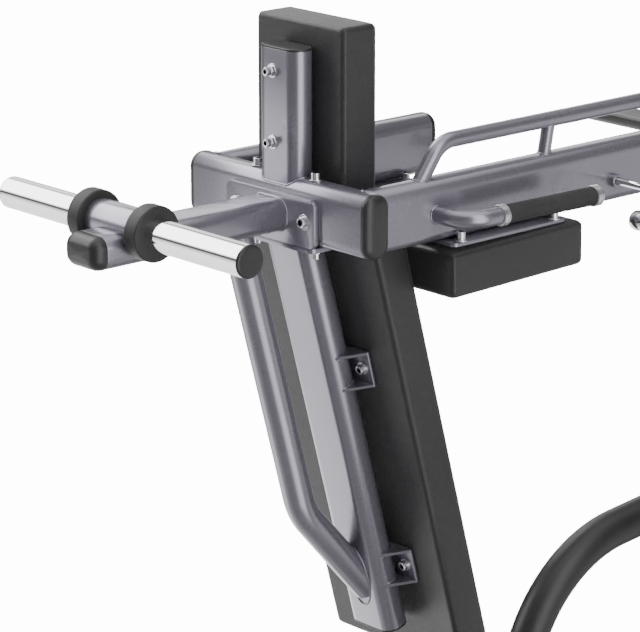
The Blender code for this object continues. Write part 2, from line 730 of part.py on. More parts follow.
def build_stops(near_upright):
    """The shelf under the counterweight arm, the arm under the beam and their bumpers."""
    shelf_top = BEAM_HEIGHT - ARM_DEPTH / 2 - GAP - BUMPER_HEIGHT - GAP
    rear = UPRIGHT_FRONT + GAP - MIDDLE
    outline = [(rear, shelf_top - SHELF_DROP), (rear + SHELF_THICK, shelf_top - SHELF_DROP),
               (rear + SHELF_THICK, shelf_top - SHELF_THICK - 0.02),
               (rear + SHELF_THICK + 0.02, shelf_top - SHELF_THICK), (rear + SHELF_REACH, shelf_top - SHELF_THICK),
               (rear + SHELF_REACH, shelf_top), (rear, shelf_top)]
    shelf = outline_mesh("stop_shelf", [outline], UPRIGHT_SPACING + BEAM_WIDTH)
    add("stop_shelf", shelf, BLACK, Matrix.Translation((UPRIGHT_MIDDLE, 0, 0)) @ PROFILE)

    station = PIVOT_STATION + LOWER_STOP_STATION
    edge = -LOWER_STOP_STATION + BUMPER_RADIUS
    drop = BEAM_DEPTH / 2 / cos(SWING) + edge * tan(SWING) + STOP_CLEARANCE
    lower_top = BEAM_HEIGHT - drop - BUMPER_HEIGHT - GAP
    inner = UPRIGHT_NEAR + BEAM_WIDTH / 2 - FRAME_WALL / 2
    section = rounded_rectangle(LOWER_STOP_WIDTH, LOWER_STOP_DEPTH, 0.006, 3)
    arm = outline_mesh("lower_stop", [section], BEAM_FACE - inner)
    middle = lower_top - LOWER_STOP_DEPTH / 2
    arm_frame = frame_along(point(inner, station, middle), point(BEAM_FACE, station, middle), Y_AXIS)
    cut(near_upright, cutter("lower_stop", arm, arm_frame), "UNION")

    profile = [(0, BUMPER_HEIGHT), (BUMPER_RADIUS - 0.003, BUMPER_HEIGHT), (BUMPER_RADIUS, BUMPER_HEIGHT - 0.003),
               (BUMPER_RADIUS - 0.002, 0), (0, 0)]
    upper = point(UPRIGHT_MIDDLE, UPRIGHT_FRONT + SHELF_REACH - 2 * BUMPER_RADIUS + 0.010, shelf_top + GAP)
    lower = point(BEAM_OFFSET, station, lower_top + GAP)
    for name, place in (("rest_bumper", upper), ("travel_bumper", lower)):
        add(name, turned_mesh(name, profile, 20), RUBBER, Matrix.Translation(place))


def build_stand():
    """The sloping plate with turned-down ends on two ribs, and its ribbed mat."""
    run = STAND_RUN
    slope = Vector((0, cos(STAND_ANGLE), sin(STAND_ANGLE)))
    square = Vector((0, -sin(STAND_ANGLE), cos(STAND_ANGLE)))
    origin = point(0, STAND_REAR, STAND_START)
    frame = Matrix.Translation(origin) @ Matrix((slope, square, X_AXIS)).transposed().to_4x4()
    outline = [(0, 0), (run, 0), (run, -STAND_LIP), (run - STAND_THICK, -STAND_LIP),
               (run - STAND_THICK, -STAND_THICK), (STAND_THICK, -STAND_THICK), (STAND_THICK, -STAND_LIP),
               (0, -STAND_LIP)]
    plate = add("foot_platform", outline_mesh("foot_platform", [outline], STAND_WIDTH), BLACK, frame)

    pitch = (run - 2 * MAT_MARGIN) / MAT_RIBS
    groove = MAT_THICK - MAT_RIB_DEPTH
    mat = [(MAT_MARGIN, GAP)]
    for k in range(MAT_RIBS):
        start = MAT_MARGIN + k * pitch
        mat += [(start, groove), (start + 0.25 * pitch, groove), (start + 0.35 * pitch, MAT_THICK),
                (start + 0.90 * pitch, MAT_THICK)]
    mat += [(run - MAT_MARGIN, groove), (run - MAT_MARGIN, GAP)]
    mat.reverse()
    add("platform_mat", outline_mesh("platform_mat", [mat], STAND_WIDTH - 2 * MAT_MARGIN), RUBBER, frame)

    under = STAND_THICK / 2
    rear = origin + slope * (STAND_THICK / 2) - square * under
    front = origin + slope * (run - STAND_THICK / 2) - square * under
    low = RAIL_TOP + GAP
    toe = PIVOT_STATION - MIDDLE
    rib = [(rear.y, low), (toe, low), (toe, low + 0.040), (front.y + 0.012, front.z - 0.050), (front.y, front.z),
           (rear.y, rear.z)]
    window = [(front.y - 0.150, low + 0.040), (front.y - 0.030, low + 0.040), (front.y - 0.030, front.z - 0.060),
              (front.y - 0.150, front.z - 0.120)]
    for name, x in (("near", RIB_OFFSET), ("far", -RIB_OFFSET)):
        mesh = outline_mesh("rib", [rib, window], RIB_THICK)
        cut(plate, cutter("platform_rib_" + name, mesh, Matrix.Translation((x, 0, 0)) @ PROFILE), "UNION")


def beam_section_cutter(name, start, end, across=X_AXIS):
    return flat_tube_cutter(name, (BEAM_WIDTH, BEAM_DEPTH), BEAM_RADIUS, start, end, across)


def build_beams():
    section = (BEAM_WIDTH, BEAM_DEPTH)
    start = CROSS_FRONT + GAP
    nose = PIVOT_STATION + BEAM_NOSE
    beam = flat_tube("main_beam", section, BEAM_RADIUS, point(BEAM_OFFSET, start, BEAM_HEIGHT),
                     point(BEAM_OFFSET, nose, BEAM_HEIGHT), X_AXIS, SILVER, CARRIAGE_WALL, PENDULUM)
    flat_tube("stub_arm", section, BEAM_RADIUS, point(-BEAM_OFFSET, start, BEAM_HEIGHT),
              point(-BEAM_OFFSET, STUB_END, BEAM_HEIGHT), X_AXIS, SILVER, CARRIAGE_WALL, PENDULUM)
    hub = axis_frame(point(BEAM_OFFSET, PIVOT_STATION, BEAM_HEIGHT), X_AXIS)
    boss = cylinder_mesh("beam_hub", HUB_RADIUS, BEAM_WIDTH + 2 * HUB_OVERHANG)
    cut(beam, cutter("beam_hub", boss, hub), "UNION")
    lever = point(BEAM_FACE, LEVER_STATION, BEAM_HEIGHT - LEVER_DROP)
    bush = cylinder_mesh("lever_bush", LEVER_BUSH_RADIUS, 2 * LEVER_BUSH_LENGTH, 20)
    cut(beam, cutter("lever_bush", bush, axis_frame(lever, X_AXIS)), "UNION")
    cut(beam, hole_cutter("rod_hole", [lever], X_AXIS, LEVER_RADIUS + RUNNING, 4 * LEVER_BUSH_LENGTH))
    cut(beam, cutter("shaft_hole", cylinder_mesh("shaft_hole", SHAFT_RADIUS + GAP, 3 * BEAM_WIDTH), hub))

    cross = flat_tube("cross_tube", section, BEAM_RADIUS, point(-BEAM_FACE, CROSS_STATION, BEAM_HEIGHT),
                      point(BEAM_FACE, CROSS_STATION, BEAM_HEIGHT), Y_AXIS, SILVER, CARRIAGE_WALL, PENDULUM)
    clamp = [point(x, CROSS_STATION, BEAM_HEIGHT) for x in (CLAMP_OFFSET, -CLAMP_OFFSET)]
    cut(cross, hole_cutter("clamp_holes", clamp, Z_AXIS, BOLT_RADIUS + GAP, 2 * BEAM_DEPTH, 12))

    ends = (("cross_cap_near", point(BEAM_FACE, CROSS_STATION, BEAM_HEIGHT), X_AXIS, Y_AXIS),
            ("cross_cap_far", point(-BEAM_FACE, CROSS_STATION, BEAM_HEIGHT), -X_AXIS, Y_AXIS),
            ("stub_arm_cap", point(-BEAM_OFFSET, STUB_END, BEAM_HEIGHT), Y_AXIS, X_AXIS),
            ("main_beam_cap", point(BEAM_OFFSET, nose, BEAM_HEIGHT), Y_AXIS, X_AXIS))
    for name, place, way, across in ends:
        plug = cap_mesh(BEAM_WIDTH, BEAM_DEPTH, BEAM_RADIUS)
        add(name, plug, PLASTIC, axis_frame(place, way, across), PENDULUM)


def build_horn():
    """The arm behind the cross tube with its welded flange and sleeve, the bar and its rings."""
    flange_rear = CROSS_REAR - GAP - FLANGE_THICK
    arm = flat_tube("horn_arm", (HORN_WIDTH, HORN_DEPTH), HORN_RADIUS, point(0, -HORN_REAR, HORN_MIDDLE),
                    point(0, flange_rear + FLANGE_THICK / 2, HORN_MIDDLE), X_AXIS, SILVER, CARRIAGE_WALL, PENDULUM)
    outline = rounded_rectangle(FLANGE_LENGTH, FLANGE_HEIGHT, 0.012, 4)
    flange = outline_mesh("horn_flange", [outline], FLANGE_THICK)
    ends = (point(0, flange_rear, HORN_MIDDLE), point(0, flange_rear + FLANGE_THICK, HORN_MIDDLE))
    cut(arm, cutter("horn_flange", flange, frame_along(*ends, X_AXIS)), "UNION")
    axis = axis_frame(point(0, 0, BAR_HEIGHT), X_AXIS)
    cut(arm, cutter("horn_sleeve", cylinder_mesh("horn_sleeve", SLEEVE_RADIUS, SLEEVE_LENGTH, ROUND_SIDES), axis), "UNION")
    bore = BAR_RADIUS + GAP
    cut(arm, cutter("bar_bore", cylinder_mesh("bar_bore", bore, 2 * SLEEVE_LENGTH, ROUND_SIDES), axis))
    plug = cap_mesh(HORN_WIDTH, HORN_DEPTH, HORN_RADIUS)
    add("horn_arm_cap", plug, PLASTIC, axis_frame(point(0, -HORN_REAR, HORN_MIDDLE), -Y_AXIS, X_AXIS), PENDULUM)

    end = BAR_LENGTH / 2 - BAR_CAP
    inner = BAR_RADIUS - BAR_WALL
    bar = turned_mesh("weight_bar", [(inner, end), (BAR_RADIUS, end), (BAR_RADIUS, -end), (inner, -end)],
                      ROUND_SIDES, closed=True)
    add("weight_bar", bar, CHROME, axis, PENDULUM)
    cap = [(0, BAR_CAP), (BAR_RADIUS - 0.0015, BAR_CAP), (BAR_RADIUS, BAR_CAP - 0.0015), (BAR_RADIUS, GAP),
           (inner - PLUG_FIT, GAP), (inner - PLUG_FIT, -PLUG_DEPTH), (0, -PLUG_DEPTH)]
    half = RING_WIDTH / 2
    ring = [(bore, half), (RING_RADIUS - 0.003, half), (RING_RADIUS, half - 0.003), (RING_RADIUS, 0.003 - half),
            (RING_RADIUS - 0.003, -half), (bore, -half)]
    offset = SLEEVE_LENGTH / 2 + GAP + half
    for name, side in (("near", 1), ("far", -1)):
        add("weight_bar_cap_" + name, turned_mesh("bar_cap", cap, ROUND_SIDES), PLASTIC,
            axis_frame(point(side * end, 0, BAR_HEIGHT), X_AXIS * side), PENDULUM)
        add("rubber_ring_" + name, turned_mesh("ring", ring, ROUND_SIDES, closed=True), RUBBER,
            axis_frame(point(side * offset, 0, BAR_HEIGHT), X_AXIS), PENDULUM)


def build_head_rest():
    post_rear = CROSS_REAR + 0.003
    middle = post_rear + POST_DEPTH / 2
    top = BEAM_HEIGHT + POST_RISE
    post = flat_tube("head_post", (POST_WIDTH, POST_DEPTH), POST_RADIUS, point(0, middle, BEAM_HEIGHT + 0.020),
                     point(0, middle, top), X_AXIS, SILVER, CARRIAGE_WALL, PENDULUM)
    notch = flat_tube_cutter("post_notch", (BEAM_WIDTH, BEAM_DEPTH), BEAM_RADIUS,
                             point(-POST_WIDTH, CROSS_STATION, BEAM_HEIGHT),
                             point(POST_WIDTH, CROSS_STATION, BEAM_HEIGHT), Y_AXIS)
    cut(post, notch)
    cap = flat_cap(POST_WIDTH, POST_DEPTH, POST_RADIUS)
    add("head_post_cap", cap, PLASTIC, axis_frame(point(0, middle, top), Z_AXIS, X_AXIS), PENDULUM)
    back = max(post_rear + POST_DEPTH, CROSS_FRONT) + GAP
    height = BEAM_HEIGHT + HEAD_PAD_RISE - HEAD_PAD_LENGTH / 2
    frame = upright_frame(point(0, back, height), Y_AXIS)
    cushion("head_pad", HEAD_PAD_WIDTH, HEAD_PAD_LENGTH, HEAD_PAD_THICK, frame, 3, 3, PENDULUM)


def spine_point(along, ahead, x=0.0):
    """A place on the leaning frame: along the spine from its top, ahead of its rear face."""
    return point(x, SPINE_REAR, PLATE_BOTTOM) + DOWN * along + AHEAD * ahead


def build_back_frame():
    """The leaning spine with its welded top plate and brackets, the bow and the long pad."""
    spine = flat_tube("back_spine", (SPINE_WIDTH, SPINE_DEPTH), SPINE_RADIUS,
                      spine_point(-SPINE_OVERRUN, SPINE_DEPTH / 2), spine_point(SPINE_LENGTH, SPINE_DEPTH / 2),
                      X_AXIS, SILVER, CARRIAGE_WALL, PENDULUM)
    wide = 0.15
    over = block_mesh("spine_top_cut", point(-wide, SPINE_REAR - wide, PLATE_BOTTOM + PLATE_THICK / 2),
                      point(wide, SPINE_REAR + wide, PLATE_BOTTOM + wide))
    cut(spine, cutter("spine_top_cut", over))
    holes = [(x, CROSS_STATION - (PLATE_REAR + PLATE_FRONT) / 2) for x in (CLAMP_OFFSET, -CLAMP_OFFSET)]
    loops = [rounded_rectangle(PLATE_LENGTH, PLATE_FRONT - PLATE_REAR, 0.012, 4)]
    loops += [circle(BOLT_RADIUS + GAP, 12, hole) for hole in holes]
    middle = (PLATE_REAR + PLATE_FRONT) / 2
    plate = outline_mesh("spine_top_plate", loops, PLATE_THICK)
    plate_frame = Matrix.Translation(point(0, middle, PLATE_BOTTOM + PLATE_THICK / 2))
    cut(spine, cutter("spine_top_plate", plate, plate_frame), "UNION")
    weld_brackets(spine)

    shank = BEAM_DEPTH + GAP + PLATE_THICK
    for name, x in (("clamp_bolt_near", CLAMP_OFFSET), ("clamp_bolt_far", -CLAMP_OFFSET)):
        bolt = bolt_mesh(shank)
        add(name, bolt, STEEL, axis_frame(point(x, CROSS_STATION, BEAM_TOP), Z_AXIS), PENDULUM)
    cap = flat_cap(SPINE_WIDTH, SPINE_DEPTH, SPINE_RADIUS)
    place = spine_point(SPINE_LENGTH, SPINE_DEPTH / 2)
    add("back_spine_cap", cap, PLASTIC, axis_frame(place, DOWN, X_AXIS), PENDULUM)
    build_bow()
    back = SPINE_DEPTH + BRACKET_THICK + GAP
    frame = upright_frame(spine_point(BACK_PAD_START + BACK_PAD_LENGTH / 2, back), AHEAD)
    cushion("back_pad", BACK_PAD_WIDTH, BACK_PAD_LENGTH, BACK_PAD_THICK, frame, 4, 8, PENDULUM)


def build_bow():
    """The round tube from under the horn arm down to the spine's rear face."""
    horn_bottom = HORN_MIDDLE - HORN_DEPTH / 2
    top = point(0, BOW_STATION, horn_bottom)
    corner = top + DOWN * BOW_DROP
    join = spine_point(BOW_JOIN, 0)
    reach = 0.06
    out = (join - corner).normalized()
    path = rounded_path([top - DOWN * reach, corner, join + out * reach], BOW_BEND)
    bow = bent_tube("bow_tube", path, BOW_RADIUS, SILVER, CARRIAGE_WALL, PENDULUM, sides=20)
    wide = 0.12
    over = block_mesh("bow_top_cut", point(-wide, BOW_STATION - wide, horn_bottom - GAP),
                      point(wide, BOW_STATION + wide, horn_bottom + wide))
    cut(bow, cutter("bow_top_cut", over))
    side = block_mesh("bow_foot_cut", Vector((-wide, -GAP, -wide)), Vector((wide, wide, wide)))
    frame = Matrix.Translation(join) @ Matrix((X_AXIS, AHEAD, -DOWN)).transposed().to_4x4()
    cut(bow, cutter("bow_foot_cut", side, frame))


def weld_brackets(spine):
    """Brackets beside the spine: a web behind the pad and two gusset flanges on each."""
    side_face = SPINE_WIDTH / 2
    flat = side_face - SPINE_RADIUS
    inside = SPINE_RADIUS - CARRIAGE_WALL / 2
    reach = side_face + BRACKET_WIDTH
    front_corner = BRACKET_THICK + SPINE_RADIUS
    rear_corner = BRACKET_THICK + SPINE_DEPTH - SPINE_RADIUS
    tail = acos(max(-1.0, min(0.0, (rear_corner - BRACKET_FLANGE) / inside)))
    outline = [(flat + SPINE_RADIUS * sin(tail), BRACKET_FLANGE), (reach, BRACKET_THICK), (reach, 0), (flat, 0)]
    outline += [(flat + inside * sin(turn), front_corner - inside * cos(turn))
                for turn in (0, pi / 8, pi / 4, 3 * pi / 8, pi / 2)]
    outline += [(flat + inside * sin(turn), rear_corner - inside * cos(turn))
                for turn in (pi / 2, (pi / 2 + tail) / 2, tail)]
    half = BRACKET_HEIGHT / 2
    front = SPINE_DEPTH + BRACKET_THICK
    for row, along in enumerate(BRACKET_STATIONS):
        for name, side in (("near", 1), ("far", -1)):
            rows = Matrix((X_AXIS * side, -AHEAD, -DOWN * side)).transposed().to_4x4()
            frame = Matrix.Translation(spine_point(along, front)) @ rows
            web = block_mesh("web", Vector((flat, 0, -half)),
                             Vector((reach, BRACKET_THICK + 0.001, half)))
            cut(spine, cutter(f"bracket_web_{name}_{row}", web, frame), "UNION")
            for end, height in (("low", -half), ("high", half - BRACKET_THICK)):
                gusset = outline_mesh("gusset", [outline], BRACKET_THICK)
                lift = Matrix.Translation((0, 0, height + BRACKET_THICK / 2))
                cut(spine, cutter(f"bracket_{end}_{name}_{row}", gusset, frame @ lift), "UNION")


def build_shoulder_pads():
    plate_bottom = PLATE_TOP - SHOULDER_PLATE
    middle_y = SHOULDER_REAR + SHOULDER_LENGTH / 2
    middle_x = SHOULDER_OUTER - SHOULDER_WIDTH / 2
    length = SHOULDER_LENGTH - 2 * SHOULDER_PLATE_INSET
    width = SHOULDER_WIDTH - 2 * SHOULDER_PLATE_INSET
    for name, side in (("near", 1), ("far", -1)):
        extruded("shoulder_plate_" + name, [rounded_rectangle(width, length, 0.010, 3)],
                 point(side * middle_x, middle_y, plate_bottom), point(side * middle_x, middle_y, PLATE_TOP),
                 X_AXIS, SILVER, PENDULUM)
        rows = Matrix((X_AXIS, -Y_AXIS, -Z_AXIS)).transposed().to_4x4()
        frame = Matrix.Translation(point(side * middle_x, middle_y, plate_bottom - GAP)) @ rows
        cushion("shoulder_pad_" + name, SHOULDER_WIDTH, SHOULDER_LENGTH, SHOULDER_THICK, frame, 3, 3, PENDULUM)


def build_handles():
    height = BEAM_HEIGHT - HANDLE_DROP
    rod_end = GRIP_START + GRIP_LENGTH + HANDLE_TIP
    bore = HANDLE_RADIUS + GAP
    half = GRIP_LENGTH / 2
    foam = [(bore, half), (GRIP_RADIUS - 0.002, half), (GRIP_RADIUS, half - 0.002), (GRIP_RADIUS, 0.002 - half),
            (GRIP_RADIUS - 0.002, -half), (bore, -half)]
    for name, side in (("near", 1), ("far", -1)):
        face = side * (BEAM_FACE + GAP)
        axis = side * (BEAM_FACE + HANDLE_REACH)
        corners = [point(face, HANDLE_STATION, height), point(axis, HANDLE_STATION, height),
                   point(axis, rod_end, height)]
        path = rounded_path(corners, HANDLE_BEND)
        bent_tube("handle_" + name, path, HANDLE_RADIUS, SILVER, carrier=PENDULUM)
        middle = point(axis, GRIP_START + half, height)
        add("grip_" + name, turned_mesh("grip", foam, 20, closed=True), RUBBER, axis_frame(middle, Y_AXIS), PENDULUM)


def build_hand_rail():
    height = BEAM_TOP + HAND_RAIL_RISE
    low = BEAM_TOP - 0.015
    corners = [point(BEAM_OFFSET, HAND_RAIL_REAR, low),
               point(BEAM_OFFSET, HAND_RAIL_REAR + HAND_RAIL_SPREAD, height),
               point(BEAM_OFFSET, HAND_RAIL_FRONT - HAND_RAIL_SPREAD, height),
               point(BEAM_OFFSET, HAND_RAIL_FRONT, low)]
    rail = bent_tube("hand_rail", rounded_path(corners, 0.050), HAND_RAIL_RADIUS, SILVER, None, PENDULUM)
    post = bent_tube_mesh("rail_post", [point(BEAM_OFFSET, HAND_RAIL_POST, low),
                                        point(BEAM_OFFSET, HAND_RAIL_POST, height)], HAND_RAIL_RADIUS - 0.002, 12)
    cut(rail, cutter("rail_post", post), "UNION")
    notch = beam_section_cutter("rail_notch", point(BEAM_OFFSET, HAND_RAIL_REAR - 0.1, BEAM_HEIGHT),
                                point(BEAM_OFFSET, HAND_RAIL_FRONT + 0.1, BEAM_HEIGHT))
    cut(rail, notch)


def build_pivot():
    """The shaft with a collar at each end, fixed in the beam's boss and in the arm's hub."""
    near = BEAM_OFFSET + BEAM_WIDTH / 2 + HUB_OVERHANG + GAP
    far = BLOCK_FAR - BLOCK_LENGTH / 2 - RUNNING
    tip = SHAFT_COLLAR_LENGTH
    profile = [(0, near + tip), (SHAFT_COLLAR - 0.002, near + tip), (SHAFT_COLLAR, near + tip - 0.002),
               (SHAFT_COLLAR, near), (SHAFT_RADIUS, near), (SHAFT_RADIUS, far), (SHAFT_COLLAR, far),
               (SHAFT_COLLAR, far - tip + 0.002), (SHAFT_COLLAR - 0.002, far - tip), (0, far - tip)]
    shaft = turned_mesh("pivot_shaft", profile)
    add("pivot_shaft", shaft, STEEL, axis_frame(point(0, PIVOT_STATION, BEAM_HEIGHT), X_AXIS), PENDULUM)


def build_counterweight():
    """The arm with its hub and peg in one piece, and a thick disc on each side of it."""
    loops = [rounded_rectangle(ARM_WIDTH, ARM_DEPTH, 0.010, 3)]
    hub_place = point(UPRIGHT_MIDDLE, PIVOT_STATION, BEAM_HEIGHT)
    peg_place = point(UPRIGHT_MIDDLE, PIVOT_STATION + ARM_REACH, BEAM_HEIGHT)
    arm = extruded("counterweight_arm", loops, hub_place, peg_place + Y_AXIS * ARM_NOSE, X_AXIS, SILVER, PENDULUM)
    hub_frame = axis_frame(hub_place, X_AXIS)
    cut(arm, cutter("arm_hub", cylinder_mesh("arm_hub", HUB_RADIUS, ARM_HUB_LENGTH), hub_frame), "UNION")
    side = ARM_WIDTH / 2 + DISC_THICK + 2 * GAP
    end = side + PEG_HEAD_LENGTH
    peg = turned_mesh("peg", [(0, end), (PEG_HEAD_RADIUS, end), (PEG_HEAD_RADIUS, side), (PEG_RADIUS, side),
                              (PEG_RADIUS, -side), (PEG_HEAD_RADIUS, -side), (PEG_HEAD_RADIUS, -end), (0, -end)])
    cut(arm, cutter("arm_peg", peg, axis_frame(peg_place, X_AXIS)), "UNION")
    bore = cylinder_mesh("arm_bore", SHAFT_RADIUS + GAP, 2 * ARM_HUB_LENGTH)
    cut(arm, cutter("arm_bore", bore, hub_frame))

    bore = PEG_RADIUS + GAP
    half = DISC_THICK / 2
    face = half - DISC_RECESS
    rim = DISC_RADIUS - DISC_RIM
    boss = PEG_RADIUS + 0.020
    outside = [(bore, half), (boss, half), (boss + 0.004, face), (rim - 0.004, face), (rim, half),
               (DISC_RADIUS - 0.003, half), (DISC_RADIUS, half - 0.003)]
    profile = outside + [(radius, -height) for radius, height in reversed(outside)]
    offset = ARM_WIDTH / 2 + GAP + half
    for name, way in (("near", 1), ("far", -1)):
        disc = turned_mesh("disc", profile, DISC_SIDES, closed=True)
        add("counterweight_disc_" + name, disc, IRON, axis_frame(peg_place + X_AXIS * way * offset, X_AXIS), PENDULUM)


def build_release_lever():
    """A cranked rod through the beam's wall with a grip that points back at the beam."""
    height = BEAM_HEIGHT - LEVER_DROP
    inside = BEAM_FACE - LEVER_BUSH_LENGTH - LEVER_INSIDE
    out = BEAM_FACE + LEVER_REACH
    grip_start = out - LEVER_BEND - 0.006
    tip = grip_start - LEVER_GRIP_LENGTH + 0.006
    corners = [point(inside, LEVER_STATION, height), point(out, LEVER_STATION, height),
               point(out, LEVER_STATION, height - LEVER_CRANK), point(tip, LEVER_STATION, height - LEVER_CRANK)]
    bent_tube("release_lever", rounded_path(corners, LEVER_BEND), LEVER_RADIUS, CHROME, carrier=LEVER, sides=12)
    length = LEVER_GRIP_LENGTH
    bore = LEVER_RADIUS + GAP
    grip = turned_mesh("release_grip", [(0, length), (LEVER_GRIP_RADIUS - 0.005, length),
                                        (LEVER_GRIP_RADIUS - 0.001, length - 0.003),
                                        (LEVER_GRIP_RADIUS, length - 0.007), (LEVER_GRIP_RADIUS, 0.002),
                                        (LEVER_GRIP_RADIUS - 0.002, 0), (bore, 0), (bore, length - 0.005),
                                        (0, length - 0.005)])
    place = point(grip_start, LEVER_STATION, height - LEVER_CRANK)
    add("release_grip", grip, CHROME, axis_frame(place, -X_AXIS), LEVER)


build_floor_frame()
build_side_hoop()
build_tower()
build_stand()
build_beams()
build_horn()
build_head_rest()
build_back_frame()
build_shoulder_pads()
build_handles()
build_hand_rail()
build_pivot()
build_counterweight()
build_release_lever()
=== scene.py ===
# %% [markdown]
# # Dressing a pendulum squat machine
#
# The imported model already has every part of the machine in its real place, as plain
# facets. This lesson gives the parts the roundness, edges and finishes of the real
# machine: metallic silver powder coat on the carriage that swings, black powder coat on
# the frame that stands, chrome on the weight bar, and upholstered pads.

# %% Load the model
from math import cos, degrees, exp, pi, radians, sin, tan

import bmesh
import bpy
from mathutils import Matrix, Vector, noise


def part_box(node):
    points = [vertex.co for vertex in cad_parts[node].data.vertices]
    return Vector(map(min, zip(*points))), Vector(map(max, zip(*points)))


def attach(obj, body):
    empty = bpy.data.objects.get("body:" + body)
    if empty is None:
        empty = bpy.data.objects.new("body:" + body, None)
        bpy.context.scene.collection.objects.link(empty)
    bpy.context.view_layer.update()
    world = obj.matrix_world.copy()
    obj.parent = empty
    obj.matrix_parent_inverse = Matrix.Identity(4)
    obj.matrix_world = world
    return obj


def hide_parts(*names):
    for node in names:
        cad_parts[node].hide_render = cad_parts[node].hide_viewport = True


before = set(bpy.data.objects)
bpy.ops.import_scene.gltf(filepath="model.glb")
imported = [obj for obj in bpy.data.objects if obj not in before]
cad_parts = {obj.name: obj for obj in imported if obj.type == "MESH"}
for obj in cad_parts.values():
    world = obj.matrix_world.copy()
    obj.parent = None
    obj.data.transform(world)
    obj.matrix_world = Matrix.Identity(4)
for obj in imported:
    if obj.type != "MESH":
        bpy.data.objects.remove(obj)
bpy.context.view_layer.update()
CARRIAGE, STANDING, LEVER = "pendulum_carriage", "fixed_frame", "release_lever"

# %% [markdown]
# ## Where things are
#
# Lengths along the machine are easiest to read when they are counted from the weight
# bar, so `at` takes such a place and moves it to the model's own frame. Where it is given
# no height, it takes the beam's. The bar and the beam come from the model itself, so
# nothing slides if the model is moved.

# %% Places
X_AXIS, Y_AXIS, Z_AXIS = Vector((1, 0, 0)), Vector((0, 1, 0)), Vector((0, 0, 1))
SIDES = (("near", 1), ("far", -1))


def box_of(node):
    low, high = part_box(node)
    return Vector(low), Vector(high)


def middle_of(node):
    low, high = box_of(node)
    return (low + high) / 2


BAR = middle_of("weight_bar")
BEAM_HEIGHT = middle_of("cross_tube").z
PIVOT = middle_of("bearing_block_near").y - BAR.y


def at(x, station, height=BEAM_HEIGHT):
    return Vector((x, station + BAR.y, height))


print("bar", tuple(round(v, 3) for v in BAR), "pivot station", round(PIVOT, 3))

# %% [markdown]
# ## Camera
#
# The photograph looks down on the machine a little, from behind and to the right, with a
# long lens, so that parallel tubes stay nearly parallel.

# %% Camera
CAMERA_YAW, CAMERA_PITCH = radians(48.058), radians(15.925)
CAMERA_LENS, FILM_WIDTH = 183.08, 36


def stand(name, data):
    """A new object at the origin."""
    made = bpy.data.objects.new(name, data)
    bpy.context.scene.collection.objects.link(made)
    return made


lens = bpy.data.cameras.new("studio_camera")
lens.lens, lens.sensor_width, lens.sensor_fit, lens.clip_end = CAMERA_LENS, FILM_WIDTH, "HORIZONTAL", 200
camera = stand("studio_camera", lens)
camera.location = at(3.652, -2.8909, BEAM_HEIGHT + 1.2082)
camera.rotation_euler = (pi / 2 - CAMERA_PITCH, 0, CAMERA_YAW)
bpy.context.scene.camera = camera
print("camera height", round(camera.location.z, 2), "m")

# %% [markdown]
# ## Shader maths as Python
#
# A pattern is a sum: so much grain here, a little less there. Wiring that by hand is
# slow to read, so a socket is wrapped in a small class whose plus, minus and times add
# the Math nodes. Each sign also gets its reflected form, so that 1 - mask works.

# %% Sums of sockets


class Value:
    """One output socket, with arithmetic that adds Math nodes."""

    def __init__(self, paint, socket):
        self.paint, self.socket = paint, socket

    def maths(self, operation, first, second):
        return self.paint.node("ShaderNodeMath", {"operation": operation}, {0: first, 1: second})


for sign, operation in (("add", "ADD"), ("sub", "SUBTRACT"), ("mul", "MULTIPLY")):
    setattr(Value, f"__{sign}__", lambda own, other, do=operation: own.maths(do, own, other))
    setattr(Value, f"__r{sign}__", lambda own, other, do=operation: own.maths(do, other, own))
print("sockets can be added, subtracted and multiplied")

# %% [markdown]
# ## One class for a finish
#
# `node` adds any node: settings first, because they decide which sockets there are, then
# the sockets' values or links. The methods after it are the few patterns that every
# finish below is made of.

# %% Finish toolkit


class Paint:
    def __init__(self, name, **constants):
        self.material = bpy.data.materials.new(name)
        self.material.use_nodes = True
        self.tree = self.material.node_tree
        self.shader = self.tree.nodes["Principled BSDF"]
        for socket, value in constants.items():
            self.shader.inputs[socket.replace("_", " ")].default_value = value

    def node(self, kind, settings=None, sockets=None, output=0):
        made = self.tree.nodes.new(kind)
        for name, value in (settings or {}).items():
            setattr(made, name, value)
        for name, value in (sockets or {}).items():
            if isinstance(value, Value):
                self.tree.links.new(value.socket, made.inputs[name])
            else:
                made.inputs[name].default_value = value
        return Value(self, made.outputs[output])

    def place(self, stretch=(1, 1, 1)):
        spot = self.node("ShaderNodeTexCoord", output="Object")
        return self.node("ShaderNodeMapping", {"vector_type": "POINT"}, {"Vector": spot, "Scale": stretch})

    def noise(self, scale, detail=2.0, rough=0.5, stretch=(1, 1, 1)):
        return self.node("ShaderNodeTexNoise", None, {"Vector": self.place(stretch), "Scale": scale,
                                                      "Detail": detail, "Roughness": rough})

    def cells(self, scale, **sockets):
        feature = "SMOOTH_F1" if sockets else "F1"
        return self.node("ShaderNodeTexVoronoi", {"feature": feature},
                         {"Vector": self.place(), "Scale": scale, **sockets})

    def band(self, value, low, high, dark=0.0, light=1.0):
        return self.node("ShaderNodeMapRange", {"clamp": True}, {"Value": value, "From Min": low,
                                                                "From Max": high, "To Min": dark,
                                                                "To Max": light})

    def blend(self, share, first, second):
        return self.node("ShaderNodeMix", {"data_type": "RGBA"},
                         {"Factor": share, "A": (*first, 1), "B": (*second, 1)}, output=2)

    def bump(self, height, depth, strength):
        return self.node("ShaderNodeBump", None, {"Height": height, "Distance": depth, "Strength": strength})

    def finish(self, colour, roughness, normal=None, metallic=None, coat=None):
        wanted = {"Base Color": colour, "Roughness": roughness, "Normal": normal, "Metallic": metallic,
                  "Coat Weight": coat}
        for name, value in wanted.items():
            if value:
                self.tree.links.new(value.socket, self.shader.inputs[name])
        return self.material


print("a finish is a colour, a roughness and a bump")

